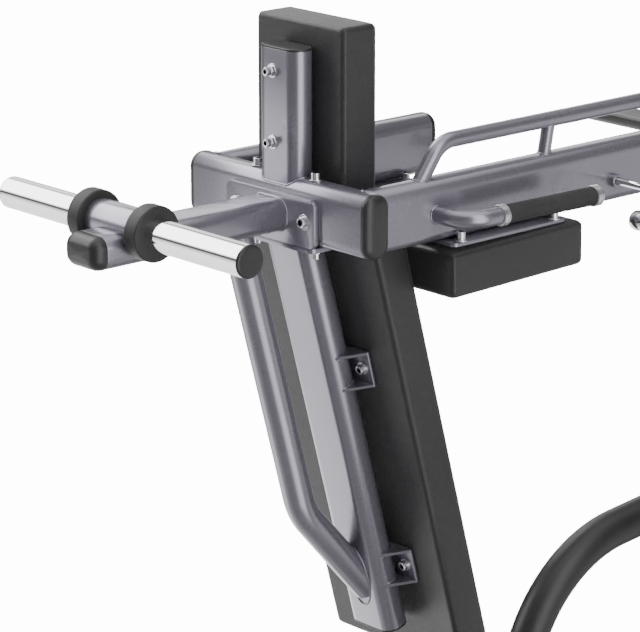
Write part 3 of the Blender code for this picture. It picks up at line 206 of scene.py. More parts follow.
# %% [markdown]
# ## Powder coat
#
# The carriage is sprayed with a silver grey powder that holds fine metal flakes, baked
# until it flows. Three things show up close: the flakes glitter a little, the surface
# keeps a faint orange peel, and hands and dust change its gloss here and there. Each is
# one noise at its own size. The black coat is the same without the flakes.

# %% Powder coats


def silver_coat():
    paint = Paint("silver powder coat", IOR=1.5, Coat_Roughness=0.06)
    flakes = paint.band(paint.noise(2600, 1.0), 0.42, 0.62)
    drift = paint.band(paint.noise(3.0, 3.0), 0.35, 0.65)
    colour = paint.blend(flakes * 0.35 + drift * 0.25, (0.238, 0.229, 0.273), (0.318, 0.308, 0.356))
    peel = paint.noise(240, 2.0)
    smudge = paint.band(paint.noise(11, 4.0, 0.6), 0.4, 0.75)
    return paint.finish(colour, 0.270 + smudge * 0.02 + flakes * 0.02, paint.bump(peel, 0.00010, 0.07),
                        0.68 + flakes * 0.06, 0.65 - smudge * 0.06)


def black_coat():
    paint = Paint("black powder coat", IOR=1.5)
    grain = paint.noise(900, 2.0)
    drift = paint.band(paint.noise(5.0, 4.0, 0.6), 0.38, 0.7)
    colour = paint.blend(drift * 0.5 + grain * 0.3, (0.010, 0.010, 0.011), (0.024, 0.024, 0.026))
    peel = grain * 0.7 + paint.noise(190, 1.0) * 0.5
    return paint.finish(colour, 0.36 + drift * 0.10, paint.bump(peel, 0.00025, 0.45))


SILVER = silver_coat()
BLACK = black_coat()
print("coats:", SILVER.name, "and", BLACK.name)

# %% [markdown]
# ## Bare metal
#
# Chrome is nearly a mirror, and what makes it look real is what has touched it: plates
# leave faint rings along the bar, fingers leave smears. Zinc plate and aluminium have a
# fine grain from the lathe. The sockets of the screws are painted dark, as painted shade
# in their recesses. Cast iron is black enamel over a coarse grain.

# %% Metals


def chrome_plate():
    paint = Paint("chrome plate", Metallic=1.0)
    smears = paint.band(paint.noise(14, 5.0, 0.65), 0.45, 0.8)
    rings = paint.band(paint.noise(160, 2.0, 0.5, (3.0, 0.05, 0.05)), 0.5, 0.8)
    colour = paint.blend(smears * 0.5 + rings * 0.2, (0.83, 0.83, 0.84), (0.70, 0.70, 0.72))
    return paint.finish(colour, 0.045 + smears * 0.06 + rings * 0.05)


def turned_metal(name, bright, dull, gloss):
    paint = Paint(name, Metallic=1.0)
    lines = paint.noise(700, 2.0, 0.6)
    spots = paint.band(paint.noise(60, 4.0), 0.45, 0.75)
    colour = paint.blend(spots * 0.6 + lines * 0.3, bright, dull)
    return paint.finish(colour, gloss + lines * 0.10 + spots * 0.08, paint.bump(lines, 0.0001, 0.3))


def cast_iron():
    paint = Paint("black iron", IOR=1.5)
    pores = paint.noise(420, 4.0, 0.65)
    swell = paint.noise(55, 2.0)
    colour = paint.blend(paint.band(pores, 0.35, 0.7), (0.014, 0.014, 0.015), (0.034, 0.034, 0.035))
    return paint.finish(colour, 0.42 + pores * 0.18, paint.bump(pores * 0.6 + swell * 0.5, 0.0007, 0.6))


CHROME = chrome_plate()
ZINC = turned_metal("zinc plate", (0.80, 0.80, 0.82), (0.62, 0.62, 0.64), 0.15)
ALUMINIUM = turned_metal("turned aluminium", (0.80, 0.80, 0.81), (0.64, 0.64, 0.66), 0.24)
# Painted shade: this dark finish stands in for the shade inside the screw sockets.
PAINTED_SOCKET_SHADE = turned_metal("painted socket shade", (0.10, 0.10, 0.10), (0.04, 0.04, 0.04), 0.40)
IRON = cast_iron()
print("metals:", CHROME.name, ZINC.name, ALUMINIUM.name, PAINTED_SOCKET_SHADE.name, IRON.name)

# %% [markdown]
# ## Vinyl, rubber, plastic and foam
#
# The pads are covered in upholstery vinyl. Its grain is a net of tiny pebbles about a
# millimetre across, which a Voronoi pattern gives at once, broken up by a wider noise so
# that it doesn't look printed. Rubber is duller and almost smooth, moulded plastic has a
# fine spark texture, and grip foam is full of pores.

# %% Soft finishes


def grained_vinyl():
    paint = Paint("grained vinyl", IOR=1.5, Sheen_Weight=0.12, Sheen_Roughness=0.45)
    pebbles = paint.cells(720, Smoothness=0.35)
    folds = paint.noise(95, 3.0, 0.6)
    wear = paint.band(paint.noise(6.5, 4.0, 0.6), 0.40, 0.72)
    colour = paint.blend(pebbles * 0.9 + wear * 0.25, (0.031, 0.031, 0.032), (0.014, 0.014, 0.015))
    height = 1 - pebbles * 1.3 + folds * 0.35
    return paint.finish(colour, 0.33 + pebbles * 0.14 - wear * 0.05, paint.bump(height, 0.00040, 0.60))


def moulded(name, dark, light, gloss, grain_scale, depth):
    paint = Paint(name, IOR=1.48)
    grain = paint.noise(grain_scale, 3.0, 0.6)
    dust = paint.band(paint.noise(9.0, 5.0, 0.65), 0.42, 0.78)
    colour = paint.blend(grain * 0.4 + dust * 0.5, dark, light)
    return paint.finish(colour, gloss + dust * 0.10 + grain * 0.05, paint.bump(grain, depth, 0.6))


def grip_foam():
    paint = Paint("grip foam", IOR=1.4)
    pores = paint.cells(1300)
    soil = paint.band(paint.noise(18, 4.0), 0.4, 0.75)
    colour = paint.blend(pores * 0.8 + soil * 0.2, (0.046, 0.046, 0.046), (0.024, 0.024, 0.024))
    return paint.finish(colour, 0.72 + soil * 0.10, paint.bump(pores, 0.0006, 0.8))


VINYL = grained_vinyl()
RUBBER = moulded("moulded rubber", (0.020, 0.020, 0.020), (0.040, 0.039, 0.038), 0.48, 520, 0.0003)
PLASTIC = moulded("cap plastic", (0.020, 0.020, 0.020), (0.034, 0.034, 0.034), 0.33, 800, 0.00012)
FOAM = grip_foam()
print("soft finishes:", VINYL.name, RUBBER.name, PLASTIC.name, FOAM.name)

# %% [markdown]
# ## Turning a bmesh into a piece
#
# Each new piece is built where it stands, so its object stays at the origin and a pattern
# on object coordinates keeps still. Normals are recalculated once the doubles are gone,
# because a spin or a mirror can turn a shape inside out. A zinc piece takes the dark
# painted shade of its screw sockets as its second finish.

# %% Piece helpers
TOUCHING = 0.000005
CREASE = 38


def mesh_of(shape, name):
    mesh = bpy.data.meshes.new(name)
    shape.to_mesh(mesh)
    shape.free()
    return mesh


def clean(shape):
    bmesh.ops.remove_doubles(shape, verts=shape.verts, dist=TOUCHING)
    bmesh.ops.recalc_face_normals(shape, faces=shape.faces)


def dress(shape, name, finish, *nodes, body=CARRIAGE, smooth=CREASE):
    clean(shape)
    mesh = mesh_of(shape, name)
    # A zinc piece gets the dark painted socket shade as its second material.
    for coat in (finish, PAINTED_SOCKET_SHADE) if finish is ZINC else (finish,):
        mesh.materials.append(coat)
    mesh.shade_smooth()
    mesh.set_sharp_from_angle(angle=radians(smooth))
    piece = stand(name, mesh)
    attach(piece, body)
    if nodes:
        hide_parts(*nodes)
    return piece


def look_along(place, along, across=None):
    """Local Z runs along, local X lies near across."""
    along = along.normalized()
    if across is None:
        across = Z_AXIS if abs(along.z) < 0.9 else Y_AXIS
    side = (across - along * across.dot(along)).normalized()
    return Matrix.Translation(place) @ Matrix((side, along.cross(side), along)).transposed().to_4x4()


def put(work, matrix, shape=None):
    """Move a bmesh to its place and, where a shape is given, into that shape."""
    bmesh.ops.transform(work, matrix=matrix, verts=work.verts)
    if shape is None:
        return work
    mesh = mesh_of(work, "part")
    shape.from_mesh(mesh)
    bpy.data.meshes.remove(mesh)
    return shape


HERE = Matrix.Identity(4)
print("pieces are shaded smooth up to", CREASE, "degrees")

# %% [markdown]
# ## Small operations
#
# A few operators come back all the time: rounding some edges, closing a cut, growing a
# face outwards or pushing it in. Blender's bevel has other defaults in a script than in
# the editor, so they are written down once.

# %% Small operations
VERT, EDGE, FACE = bmesh.types.BMVert, bmesh.types.BMEdge, bmesh.types.BMFace
QUARTER = pi / 2


def only(kind, made):
    """The members of one kind in what an operator gave back."""
    return [part for part in made["geom"] if isinstance(part, kind)]


def round_edges(work, edges, offset, segments=2, **more):
    bmesh.ops.bevel(work, geom=edges, offset=offset, offset_type="OFFSET", segments=segments, profile=0.5,
                    affect="EDGES", material=-1, **more)


def close_holes(work):
    bmesh.ops.holes_fill(work, edges=[e for e in work.edges if e.is_boundary], sides=0)
    return work


def thickened(work, rise):
    """Every face of a flat sheet, extruded along Z; gives back the far faces."""
    made = bmesh.ops.extrude_face_region(work, geom=work.faces[:])
    bmesh.ops.translate(work, vec=(0, 0, rise), verts=only(VERT, made))
    return only(FACE, made)


def raised(work, face, rise, share=1.0):
    """Extrude one face along Z, shrink it to a share, and give back the new face."""
    middle = face.calc_center_median()
    fresh = only(FACE, bmesh.ops.extrude_face_region(work, geom=[face]))[0]
    if face.is_valid:
        bmesh.ops.delete(work, geom=[face], context="FACES_ONLY")
    bmesh.ops.scale(work, vec=(share, share, 1), space=Matrix.Translation(-middle), verts=fresh.verts)
    bmesh.ops.translate(work, vec=(0, 0, rise), verts=fresh.verts)
    return fresh


def domed(work, face, rise, spread, steps=8):
    """Inset a face again and again, each time further in and less far out, as a quarter circle does."""
    for step in range(steps):
        first, last = QUARTER * step / steps, QUARTER * (step + 1) / steps
        inward = max(spread * (cos(first) - cos(last)), 0.00002)
        bmesh.ops.inset_individual(work, faces=[face], thickness=inward, depth=0, use_even_offset=True)
        outward = face.normal * rise * (sin(last) - sin(first))
        bmesh.ops.translate(work, vec=outward, verts=face.verts)


print("a quarter circle is", round(degrees(QUARTER)), "degrees")

# %% [markdown]
# ## Lathe work
#
# A lathe turns a profile round an axis, and so does a spin. A profile is a list of
# (radius, height) pairs. Most are the same above and below, so half of one is enough.

# %% Lathe helpers


def turned(profile, place, along, steps=48, shape=None):
    """A profile spun round the axis. Both ends reach the axis or meet."""
    work = bmesh.new()
    corners = [work.verts.new((radius, 0, height)) for radius, height in profile]
    edges = [work.edges.new(pair) for pair in zip(corners, corners[1:])]
    bmesh.ops.spin(work, geom=corners + edges, cent=(0, 0, 0), axis=Z_AXIS, angle=2 * pi, steps=steps,
                   use_merge=True)
    bmesh.ops.remove_doubles(work, verts=work.verts, dist=TOUCHING)
    return put(work, look_along(place, along), shape)


def corner(radius, height, edge, steps=4):
    """A rounded outer corner of a profile, from the face round to the side."""
    turns = [QUARTER * k / steps for k in range(steps + 1)]
    return [(radius - edge + edge * sin(t), height - edge + edge * cos(t)) for t in turns]


def mirrored(side, *middle):
    """The upper half of a profile, what lies in its middle, and the same half below."""
    return side + list(middle) + [(radius, -height) for radius, height in reversed(side)]


def closed(profile):
    return profile + profile[:1]


def ring_profile(bore, radius, half, edge):
    return closed(mirrored([(bore, half)] + corner(radius, half, edge)))


def round_bar(start, end, radius, edge=0.0015, bore=0.0, steps=64, shape=None):
    half = (end - start).length / 2
    side = [(bore, half), (radius - edge, half), (radius - edge * 0.3, half - edge * 0.3),
            (radius, half - edge)]
    profile = closed(mirrored(side)) if bore else mirrored(side)
    return turned(profile, (start + end) / 2, end - start, steps, shape)


print("a ring's section has", len(ring_profile(1, 2, 1, 0.1)) - 1, "corners")

# %% [markdown]
# ## Flat-sided tube and round tube
#
# Most of the machine is one stock: steel tube with two flat sides and big rounded
# corners. A cube whose four long edges are beveled is exactly that, and a second, tiny
# bevel on the end rims catches the light as a cut tube does. A round tube is a circle
# that is extruded along each run and spun round each bend, as a tube bender does.

# %% Flat-sided tube


def rounded_block(width, depth, height, radius=0.0, segments=10, lift=0.0):
    """A block whose upright edges are rounded, its middle lifted."""
    work = bmesh.new()
    bmesh.ops.create_cube(work, size=1)
    bmesh.ops.scale(work, vec=(width, depth, height), verts=work.verts)
    bmesh.ops.translate(work, vec=(0, 0, lift), verts=work.verts)
    if radius:
        upright = [e for e in work.edges if abs((e.verts[0].co - e.verts[1].co).normalized().z) > 0.99]
        round_edges(work, upright, radius, segments)
    return work


def oval(section, start, end, across, rim=0.0008, segments=10, shape=None):
    """Tube with a section of (width, depth, corner radius) from start to end."""
    width, depth, radius = section
    work = rounded_block(width, depth, (end - start).length, radius, segments)
    if rim:
        ends = [f for f in work.faces if abs(f.normal.z) > 0.99]
        round_edges(work, list({e for f in ends for e in f.edges}), rim)
    return put(work, look_along((start + end) / 2, end - start, across), shape)


def plate(size, place, along, across, radius, edge=0.0012, shape=None):
    """A flat plate: size is (across, third way, thickness along)."""
    half = along.normalized() * size[2] / 2
    return oval((*size[:2], radius), place - half, place + half, across, edge, 6, shape)


def trim(work, place, normal):
    """Cut away what lies on the normal's side and close the cut."""
    bmesh.ops.bisect_plane(work, geom=work.verts[:] + work.edges[:] + work.faces[:], plane_co=place,
                           plane_no=normal, clear_outer=True)
    return close_holes(work)


sample = rounded_block(0.05, 0.10, 1, 0.02)
print("a tube has", len(sample.faces), "faces before its rims are rounded")
sample.free()

# %% Round tube


def extend(work, rim, matrix):
    """Extrude an open rim, move it, and give back the new rim."""
    made = bmesh.ops.extrude_edge_only(work, edges=rim)
    bmesh.ops.transform(work, matrix=matrix, verts=only(VERT, made))
    return [edge for edge in only(EDGE, made) if edge.is_boundary]


def pipe(corners, radius, bend, sides=36, turn_steps=14):
    """A round tube through corners, bent to a radius at each."""
    work = bmesh.new()
    bmesh.ops.create_circle(work, cap_ends=False, radius=radius, segments=sides,
                            matrix=look_along(corners[0], corners[1] - corners[0]))
    rim = work.edges[:]
    here = corners[0]
    for before, corner_point, after in zip(corners, corners[1:], corners[2:]):
        into, out = (corner_point - before).normalized(), (after - corner_point).normalized()
        sweep = into.angle(out)
        reach = bend * tan(sweep / 2)
        bend_start = corner_point - into * reach
        rim = extend(work, rim, Matrix.Translation(bend_start - here))
        axis = into.cross(out).normalized()
        centre = bend_start + axis.cross(into) * bend
        rim_verts = list({v for e in rim for v in e.verts})
        spun = bmesh.ops.spin(work, geom=rim_verts + rim, cent=centre, axis=axis, angle=sweep, steps=turn_steps,
                              use_merge=False)
        rim = [part for part in spun["geom_last"] if isinstance(part, EDGE)]
        here = corner_point + out * reach
    extend(work, rim, Matrix.Translation(corners[-1] - here))
    bmesh.ops.remove_doubles(work, verts=work.verts, dist=TOUCHING)
    return close_holes(work)


print("a quarter turn of 0.1 m uses up", round(0.1 * QUARTER, 3), "m of tube")

# %% [markdown]
# ## The beam, the stub, the cross tube and the posts
#
# The carriage is a cross: a tube across the machine, with the long beam running forward
# from one end, a short stub from the other, and a post for the head pad in the middle.

# %% Carriage tubes
BEAM = BEAM_WIDTH, BEAM_DEPTH, BEAM_RADIUS = 0.050, 0.100, 0.022
BEAM_OFFSET = 0.170
BEAM_FACE = BEAM_OFFSET + BEAM_WIDTH / 2
BEAM_TOP, BEAM_BOTTOM = BEAM_HEIGHT + BEAM_DEPTH / 2, BEAM_HEIGHT - BEAM_DEPTH / 2
BEAM_END, STUB_END = PIVOT + 0.062, 0.772
CROSS_STATION = 0.322
POST = POST_WIDTH, POST_DEPTH, POST_RADIUS = 0.092, 0.0465, 0.0225
POST_SHIFT = 0.0005
POST_STATION = CROSS_STATION + POST_SHIFT
POST_TOP = box_of("head_post")[1].z

for name, node, start, end, across in (
        ("long_beam", "main_beam", at(BEAM_OFFSET, CROSS_STATION), at(BEAM_OFFSET, BEAM_END), X_AXIS),
        ("short_beam", "stub_arm", at(-BEAM_OFFSET, CROSS_STATION), at(-BEAM_OFFSET, STUB_END), X_AXIS),
        ("cross_beam", "cross_tube", at(-BEAM_FACE, CROSS_STATION), at(BEAM_FACE, CROSS_STATION), Y_AXIS)):
    dress(oval(BEAM, start, end, across), name, SILVER, node)
dress(oval(POST, at(0, POST_STATION, BEAM_HEIGHT + 0.030), at(0, POST_STATION, POST_TOP), X_AXIS),
      "head_rest_post", SILVER, "head_post")
print("beam runs", round(BEAM_END - CROSS_STATION - BEAM_WIDTH / 2, 3), "m")

# %% [markdown]
# ## Domed end caps
#
# Every open tube end has a black plastic plug with a soft dome. A dome on a rounded
# outline comes from insetting the end face again and again, and a last few extrusions
# give it its crown. The flat caps on the post and the spine are made the same way with
# hardly any rise.

# %% Caps
DOME, FLAT = (0.014, 0.003), (0.003, 0.0018)
CROWN = ((0.80, 0.030), (0.72, 0.022), (0.60, 0.014), (0.40, 0.006))


def cap(name, node, section, place, along, across, form=DOME):
    """A plug on a tube's end: form is (height of the whole cap, height of its lip)."""
    width, depth, radius = section
    height, lip = form
    rise = height - lip
    high = rise > 0.004
    work = rounded_block(width, depth, lip, radius, lift=lip / 2 + 0.0004)
    top = max(work.faces, key=lambda f: f.normal.z * 10 + f.calc_center_median().z)
    domed(work, top, rise, min(0.018, radius * 0.85) if high else 0.002, 9 if high else 3)
    for share, outward in CROWN:
        top = raised(work, top, outward * rise, share)
    return dress(put(work, look_along(place, along, across)), name, PLASTIC, node, smooth=50)


for name, node, place, along, across in (
        ("near_cross_cap", "cross_cap_near", at(BEAM_FACE, CROSS_STATION), X_AXIS, Y_AXIS),
        ("far_cross_cap", "cross_cap_far", at(-BEAM_FACE, CROSS_STATION), -X_AXIS, Y_AXIS),
        ("stub_cap", "stub_arm_cap", at(-BEAM_OFFSET, STUB_END), Y_AXIS, X_AXIS),
        ("beam_cap", "main_beam_cap", at(BEAM_OFFSET, BEAM_END), Y_AXIS, X_AXIS)):
    cap(name, node, BEAM, place, along, across)
cap("post_cap", "head_post_cap", POST, at(0, POST_STATION, POST_TOP), Z_AXIS, X_AXIS, FLAT)
print("caps rise", DOME[0], "m")

# %% [markdown]
# ## Weight bar and horn
#
# The chrome bar passes through a welded sleeve on the horn arm. Two thick rubber rings
# keep the plates off the paint. All of them are lathe work. The rings' bore is a hair
# smaller than the bar, as a pressed-on ring's is, so that no gap shows.

# %% Horn
HORN = HORN_WIDTH, HORN_DEPTH, HORN_RADIUS = 0.080, 0.052, 0.020
HORN_DROP, HORN_REAR = 0.029, -0.060
HORN_MIDDLE = BAR.z - HORN_DROP
HORN_BOTTOM = HORN_MIDDLE - HORN_DEPTH / 2
HAIR = 0.0003
FLANGE = 0.204, 0.076, 0.010
FLANGE_REAR = CROSS_STATION - BEAM_WIDTH / 2 - HAIR - FLANGE[2]
BAR_RADIUS, SLEEVE_RADIUS, SLEEVE_HALF = 0.025, 0.031, 0.053

horn = oval(HORN, at(0, HORN_REAR, HORN_MIDDLE), at(0, FLANGE_REAR + 0.002, HORN_MIDDLE), X_AXIS)
plate(FLANGE, at(0, FLANGE_REAR + FLANGE[2] / 2, HORN_MIDDLE - 0.004), Y_AXIS, X_AXIS, 0.012, 0.0010, horn)
turned(ring_profile(BAR_RADIUS + HAIR, SLEEVE_RADIUS, SLEEVE_HALF, 0.0015), BAR, X_AXIS, 64, horn)
dress(horn, "horn", SILVER, "horn_arm")
cap("horn_cap", "horn_arm_cap", HORN, at(0, HORN_REAR, HORN_MIDDLE), -Y_AXIS, X_AXIS, (0.023, 0.003))
print("horn is", round(FLANGE_REAR - HORN_REAR, 3), "m long")

# %% Bar, plugs and rings
bar_reach = box_of("weight_bar")[1].x
BAR_END = {"near": bar_reach, "far": bar_reach - 0.016}
BAR_BORE, BAR_EDGE = BAR_RADIUS - 0.004, 0.0006
near_end, far_end = BAR_END["near"], -BAR_END["far"]
bar = turned(closed([(BAR_BORE, near_end), (BAR_RADIUS - BAR_EDGE, near_end),
                     (BAR_RADIUS, near_end - BAR_EDGE), (BAR_RADIUS, far_end + BAR_EDGE),
                     (BAR_RADIUS - BAR_EDGE, far_end), (BAR_BORE, far_end)]), BAR, X_AXIS, 96)
dress(bar, "plate_bar", CHROME, "weight_bar")
PLUG = ((0, 0.0042), (0.018, 0.0042), (0.0215, 0.0039), (0.0238, 0.0030), (0.0249, 0.0015),
        (BAR_RADIUS, HAIR), (BAR_BORE - 0.0004, HAIR), (BAR_BORE - 0.0004, -0.010), (0, -0.010))
RING_RADIUS, RING_HALF = 0.0425, 0.014
for label, side in SIDES:
    out = X_AXIS * side
    plug = turned(PLUG, BAR + out * BAR_END[label], out, 64)
    dress(plug, label + "_bar_plug", PLASTIC, "weight_bar_cap_" + label)
    ring = turned(ring_profile(BAR_RADIUS - HAIR, RING_RADIUS, RING_HALF, 0.003),
                  middle_of("rubber_ring_" + label), X_AXIS, 72)
    dress(ring, label + "_stop_ring", RUBBER, "rubber_ring_" + label, smooth=50)
print("bar is", round(near_end - far_end, 3), "m long")

# %% [markdown]
# ## The leaning back frame
#
# The spine hangs from a plate under the cross tube and leans so that the pad follows a
# person's back. The bent bow tube props it from the horn arm. Both are made longer than
# they are and cut with a plane, as a saw would cut them.

# %% Spine
LEAN = radians(15.3)
DOWN, AHEAD = Vector((0, sin(LEAN), -cos(LEAN))), Vector((0, cos(LEAN), sin(LEAN)))
SPINE = SPINE_WIDTH, SPINE_DEPTH, SPINE_RADIUS = 0.100, 0.050, 0.022
SPINE_REAR = 0.3125
TOP_PLATE = 0.184, 0.078, 0.008
PLATE_TOP = BEAM_BOTTOM - 0.0003
PLATE_BOTTOM = PLATE_TOP - TOP_PLATE[2]


def on_spine(along, ahead, x=0.0):
    return at(x, SPINE_REAR, PLATE_BOTTOM) + DOWN * along + AHEAD * ahead


spine_end = (middle_of("back_spine_cap") - on_spine(0, SPINE_DEPTH / 2)).dot(DOWN) + 0.0045
spine_foot = on_spine(spine_end, SPINE_DEPTH / 2)
spine = oval(SPINE, on_spine(-0.05, SPINE_DEPTH / 2), spine_foot, X_AXIS)
trim(spine, at(0, 0, PLATE_BOTTOM), Z_AXIS)
plate(TOP_PLATE, at(0, 0.329, (PLATE_TOP + PLATE_BOTTOM) / 2), Z_AXIS, X_AXIS, 0.012, shape=spine)
dress(spine, "spine", SILVER, "back_spine")
cap("spine_cap", "back_spine_cap", SPINE, spine_foot, DOWN, X_AXIS, FLAT)
print("spine is", round(spine_end, 3), "m long")

# %% [markdown]
# ## Brackets behind the pad
#
# Four bent brackets reach out beside the spine to carry the back pad. Each is a web with
# two gussets. A gusset is a shape drawn on a flat sheet, extruded to its thickness, with
# its sharp edges broken by a bevel.

# %% Brackets
BRACKET_STATIONS = (0.232, 0.595)
BRACKET_REACH, BRACKET_HEIGHT, BRACKET_THICK = 0.034, 0.062, 0.005
FLAT_EDGE, BRACKET_TIP = SPINE_WIDTH / 2 - SPINE_RADIUS, SPINE_WIDTH / 2 + BRACKET_REACH
TAIL = radians(114)


def round_side(radius, turn):
    """A place on the spine's round side, as (out from its middle, back from the brackets' front)."""
    deep = SPINE_RADIUS if turn <= QUARTER else SPINE_DEPTH - SPINE_RADIUS
    return FLAT_EDGE + radius * sin(turn), BRACKET_THICK + deep - radius * cos(turn)


def sheet_cut(outline, thickness, matrix, shape):
    """Points on a flat sheet, extruded both ways to the thickness, edges broken."""
    work = bmesh.new()
    work.faces.new([work.verts.new((x, y, -thickness / 2)) for x, y in outline])
    thickened(work, thickness)
    bmesh.ops.recalc_face_normals(work, faces=work.faces)
    round_edges(work, [e for e in work.edges if e.calc_face_angle(0) > radians(30)], 0.0008)
    return put(work, matrix, shape)


brackets = bmesh.new()
gusset = [round_side(SPINE_RADIUS, TAIL), (BRACKET_TIP - 0.004, BRACKET_THICK + 0.003),
          (BRACKET_TIP, BRACKET_THICK), (BRACKET_TIP, 0), (FLAT_EDGE, 0)]
gusset += [round_side(SPINE_RADIUS - 0.0015, TAIL * k / 9) for k in range(10)]
web_width = BRACKET_TIP - FLAT_EDGE
for station in BRACKET_STATIONS:
    for label, side in SIDES:
        turn = Matrix((X_AXIS * side, -AHEAD, -DOWN * side)).transposed().to_4x4()
        bend = Matrix.Translation(on_spine(station, SPINE_DEPTH + BRACKET_THICK)) @ turn
        web = bend @ Vector((FLAT_EDGE + web_width / 2, BRACKET_THICK / 2, 0))
        plate((web_width, BRACKET_HEIGHT, BRACKET_THICK), web, AHEAD, X_AXIS, 0.003, shape=brackets)
        for height in (-1, 1):
            lift = Matrix.Translation((0, 0, height * (BRACKET_HEIGHT - BRACKET_THICK) / 2))
            sheet_cut(gusset, BRACKET_THICK, bend @ lift, brackets)
dress(brackets, "pad_brackets", SILVER)
print("brackets reach", BRACKET_REACH, "m past the spine")

# %% [markdown]
# ## The bow
#
# The bow is one length of round tube bent once. The bend is a spin about its own centre,
# which is what a tube bender does, and both ends are sawn to fit.

# %% Bow
BOW_RADIUS, BOW_BEND, BOW_STATION = 0.0245, 0.120, 0.221
BOW_DROP, BOW_JOIN, BOW_SPARE = 0.493, 0.610, 0.03
bow_top = at(0, BOW_STATION, HORN_BOTTOM)
bow_corner = bow_top + DOWN * BOW_DROP
bow_foot = on_spine(BOW_JOIN, 0)
bow_out = (bow_foot - bow_corner).normalized()
bow_corners = [bow_top - DOWN * BOW_SPARE, bow_corner, bow_foot + bow_out * BOW_SPARE]
bow = pipe(bow_corners, BOW_RADIUS, BOW_BEND, 48, 16)
for place, normal in ((bow_top, Z_AXIS), (bow_foot, AHEAD)):
    trim(bow, place + normal * 0.001, normal)
dress(bow, "bow", SILVER, "bow_tube")
print("bow bends by", round(degrees(DOWN.angle(bow_out))), "degrees")

# %% [markdown]
# ## Handles, grips and hand rail
#
# A handle is a short bent tube on each side with a foam sleeve between two turned
# aluminium collars. It splays outwards a little. The hand rail on top of the long beam is
# bent the same way and stands on a post in its middle.

# %% Handles
HANDLE_RADIUS, HANDLE_REACH, HANDLE_BEND, HANDLE_SPLAY = 0.0138, 0.065, 0.045, 0.042
HANDLE_STATION, HANDLE_HEIGHT = 0.456, BEAM_HEIGHT - 0.003
GRIP_RADIUS, GRIP_START, GRIP_LENGTH = 0.0150, 0.532, 0.184
COLLAR_RADIUS, COLLAR_WIDTH = 0.0168, 0.013
GRIP_HALF = GRIP_LENGTH / 2


def collar(place, along, has_face):
    """A turned ring with a groove; the outer one is closed by a shallow domed face."""
    bore = 0 if has_face else HANDLE_RADIUS + 0.0002
    groove, lip = COLLAR_RADIUS - 0.0009, COLLAR_RADIUS - 0.0012
    profile = [(bore, 0), (lip, 0), (COLLAR_RADIUS, 0.0010), (COLLAR_RADIUS, COLLAR_WIDTH * 0.55),
               (groove, COLLAR_WIDTH * 0.60), (groove, COLLAR_WIDTH * 0.68),
               (COLLAR_RADIUS, COLLAR_WIDTH * 0.73), (COLLAR_RADIUS, COLLAR_WIDTH - 0.0010),
               (lip, COLLAR_WIDTH)]
    if has_face:
        profile += [(0.011, COLLAR_WIDTH + 0.0005), (0, COLLAR_WIDTH + 0.0005)]
    else:
        profile = closed(profile + [(bore, COLLAR_WIDTH)])
    return turned(profile, place, along, 56)


foam_side = [(HANDLE_RADIUS + HAIR, GRIP_HALF), (GRIP_RADIUS - 0.0005, GRIP_HALF),
             (GRIP_RADIUS - 0.0001, GRIP_HALF - 0.0010), (GRIP_RADIUS, GRIP_HALF - 0.004)]
foam = closed(mirrored(foam_side, (GRIP_RADIUS - 0.0002, 0)))
for label, side in SIDES:
    elbow = at(side * (BEAM_FACE + HANDLE_REACH), HANDLE_STATION, HANDLE_HEIGHT)
    root = at(side * (BEAM_FACE - 0.004), HANDLE_STATION, HANDLE_HEIGHT)
    way = Vector((side * HANDLE_SPLAY, 1, 0)).normalized()
    tip = elbow + way * (GRIP_START + GRIP_LENGTH + 0.010 - HANDLE_STATION)
    grip = elbow + way * (GRIP_START + GRIP_HALF - HANDLE_STATION)
    handle = pipe([root, elbow, tip], HANDLE_RADIUS, HANDLE_BEND)
    dress(handle, label + "_handle_tube", SILVER, "handle_" + label)
    dress(turned(foam, grip, way, 56), label + "_grip_foam", FOAM, "grip_" + label, smooth=60)
    dress(collar(grip - way * (GRIP_HALF + COLLAR_WIDTH), way, False), label + "_rear_collar", ALUMINIUM)
    dress(collar(grip + way * (GRIP_HALF + 0.0002), way, True), label + "_front_collar", ALUMINIUM)
print("grips are", GRIP_LENGTH, "m long")

# %% Hand rail
RAIL_TUBE, RAIL_RISE, RAIL_SPREAD, RAIL_SUNK = 0.0125, 0.052, 0.046, 0.010
RAIL_REAR, RAIL_FRONT, RAIL_POST, RAIL_POST_RADIUS = 0.438, 1.180, 0.712, 0.0105
rail_corners = [at(BEAM_OFFSET, RAIL_REAR, BEAM_TOP - RAIL_SUNK),
                at(BEAM_OFFSET, RAIL_REAR + RAIL_SPREAD, BEAM_TOP + RAIL_RISE),
                at(BEAM_OFFSET, RAIL_FRONT - RAIL_SPREAD, BEAM_TOP + RAIL_RISE),
                at(BEAM_OFFSET, RAIL_FRONT, BEAM_TOP - RAIL_SUNK)]
rail = pipe(rail_corners, RAIL_TUBE, 0.050)
post_lean = Vector((0, 0.010, RAIL_RISE))
turned([(0, -RAIL_SUNK), (RAIL_POST_RADIUS, -RAIL_SUNK), (RAIL_POST_RADIUS, RAIL_RISE), (0, RAIL_RISE)],
       at(BEAM_OFFSET, RAIL_POST, BEAM_TOP), post_lean, 36, rail)
dress(rail, "top_hand_rail", SILVER, "hand_rail")
print("rail stands", RAIL_RISE, "m above the beam")

# %% [markdown]
# ## Weld beads
#
# Steel tube is joined by weld, and the bead is what tells the eye that two tubes are one
# frame. A bead is a thin round strip laid along the joint whose radius swells and shrinks
# every few millimetres. Its path is the outline of one tube, slid along until each point
# touches the surface of the other.

# %% Weld helpers
RIPPLE = 0.0016


def circle(radius, count=48):
    return [(radius * cos(2 * pi * k / count), radius * sin(2 * pi * k / count)) for k in range(count)]


def outline_of(section, steps=10):
    width, depth, radius = section
    points = []
    for turn, (sx, sy) in enumerate(((1, 1), (-1, 1), (-1, -1), (1, -1))):
        for step in range(steps + 1):
            angle = (turn + step / steps) * QUARTER
            points.append((sx * (width / 2 - radius) + radius * cos(angle),
                           sy * (depth / 2 - radius) + radius * sin(angle)))
    return points


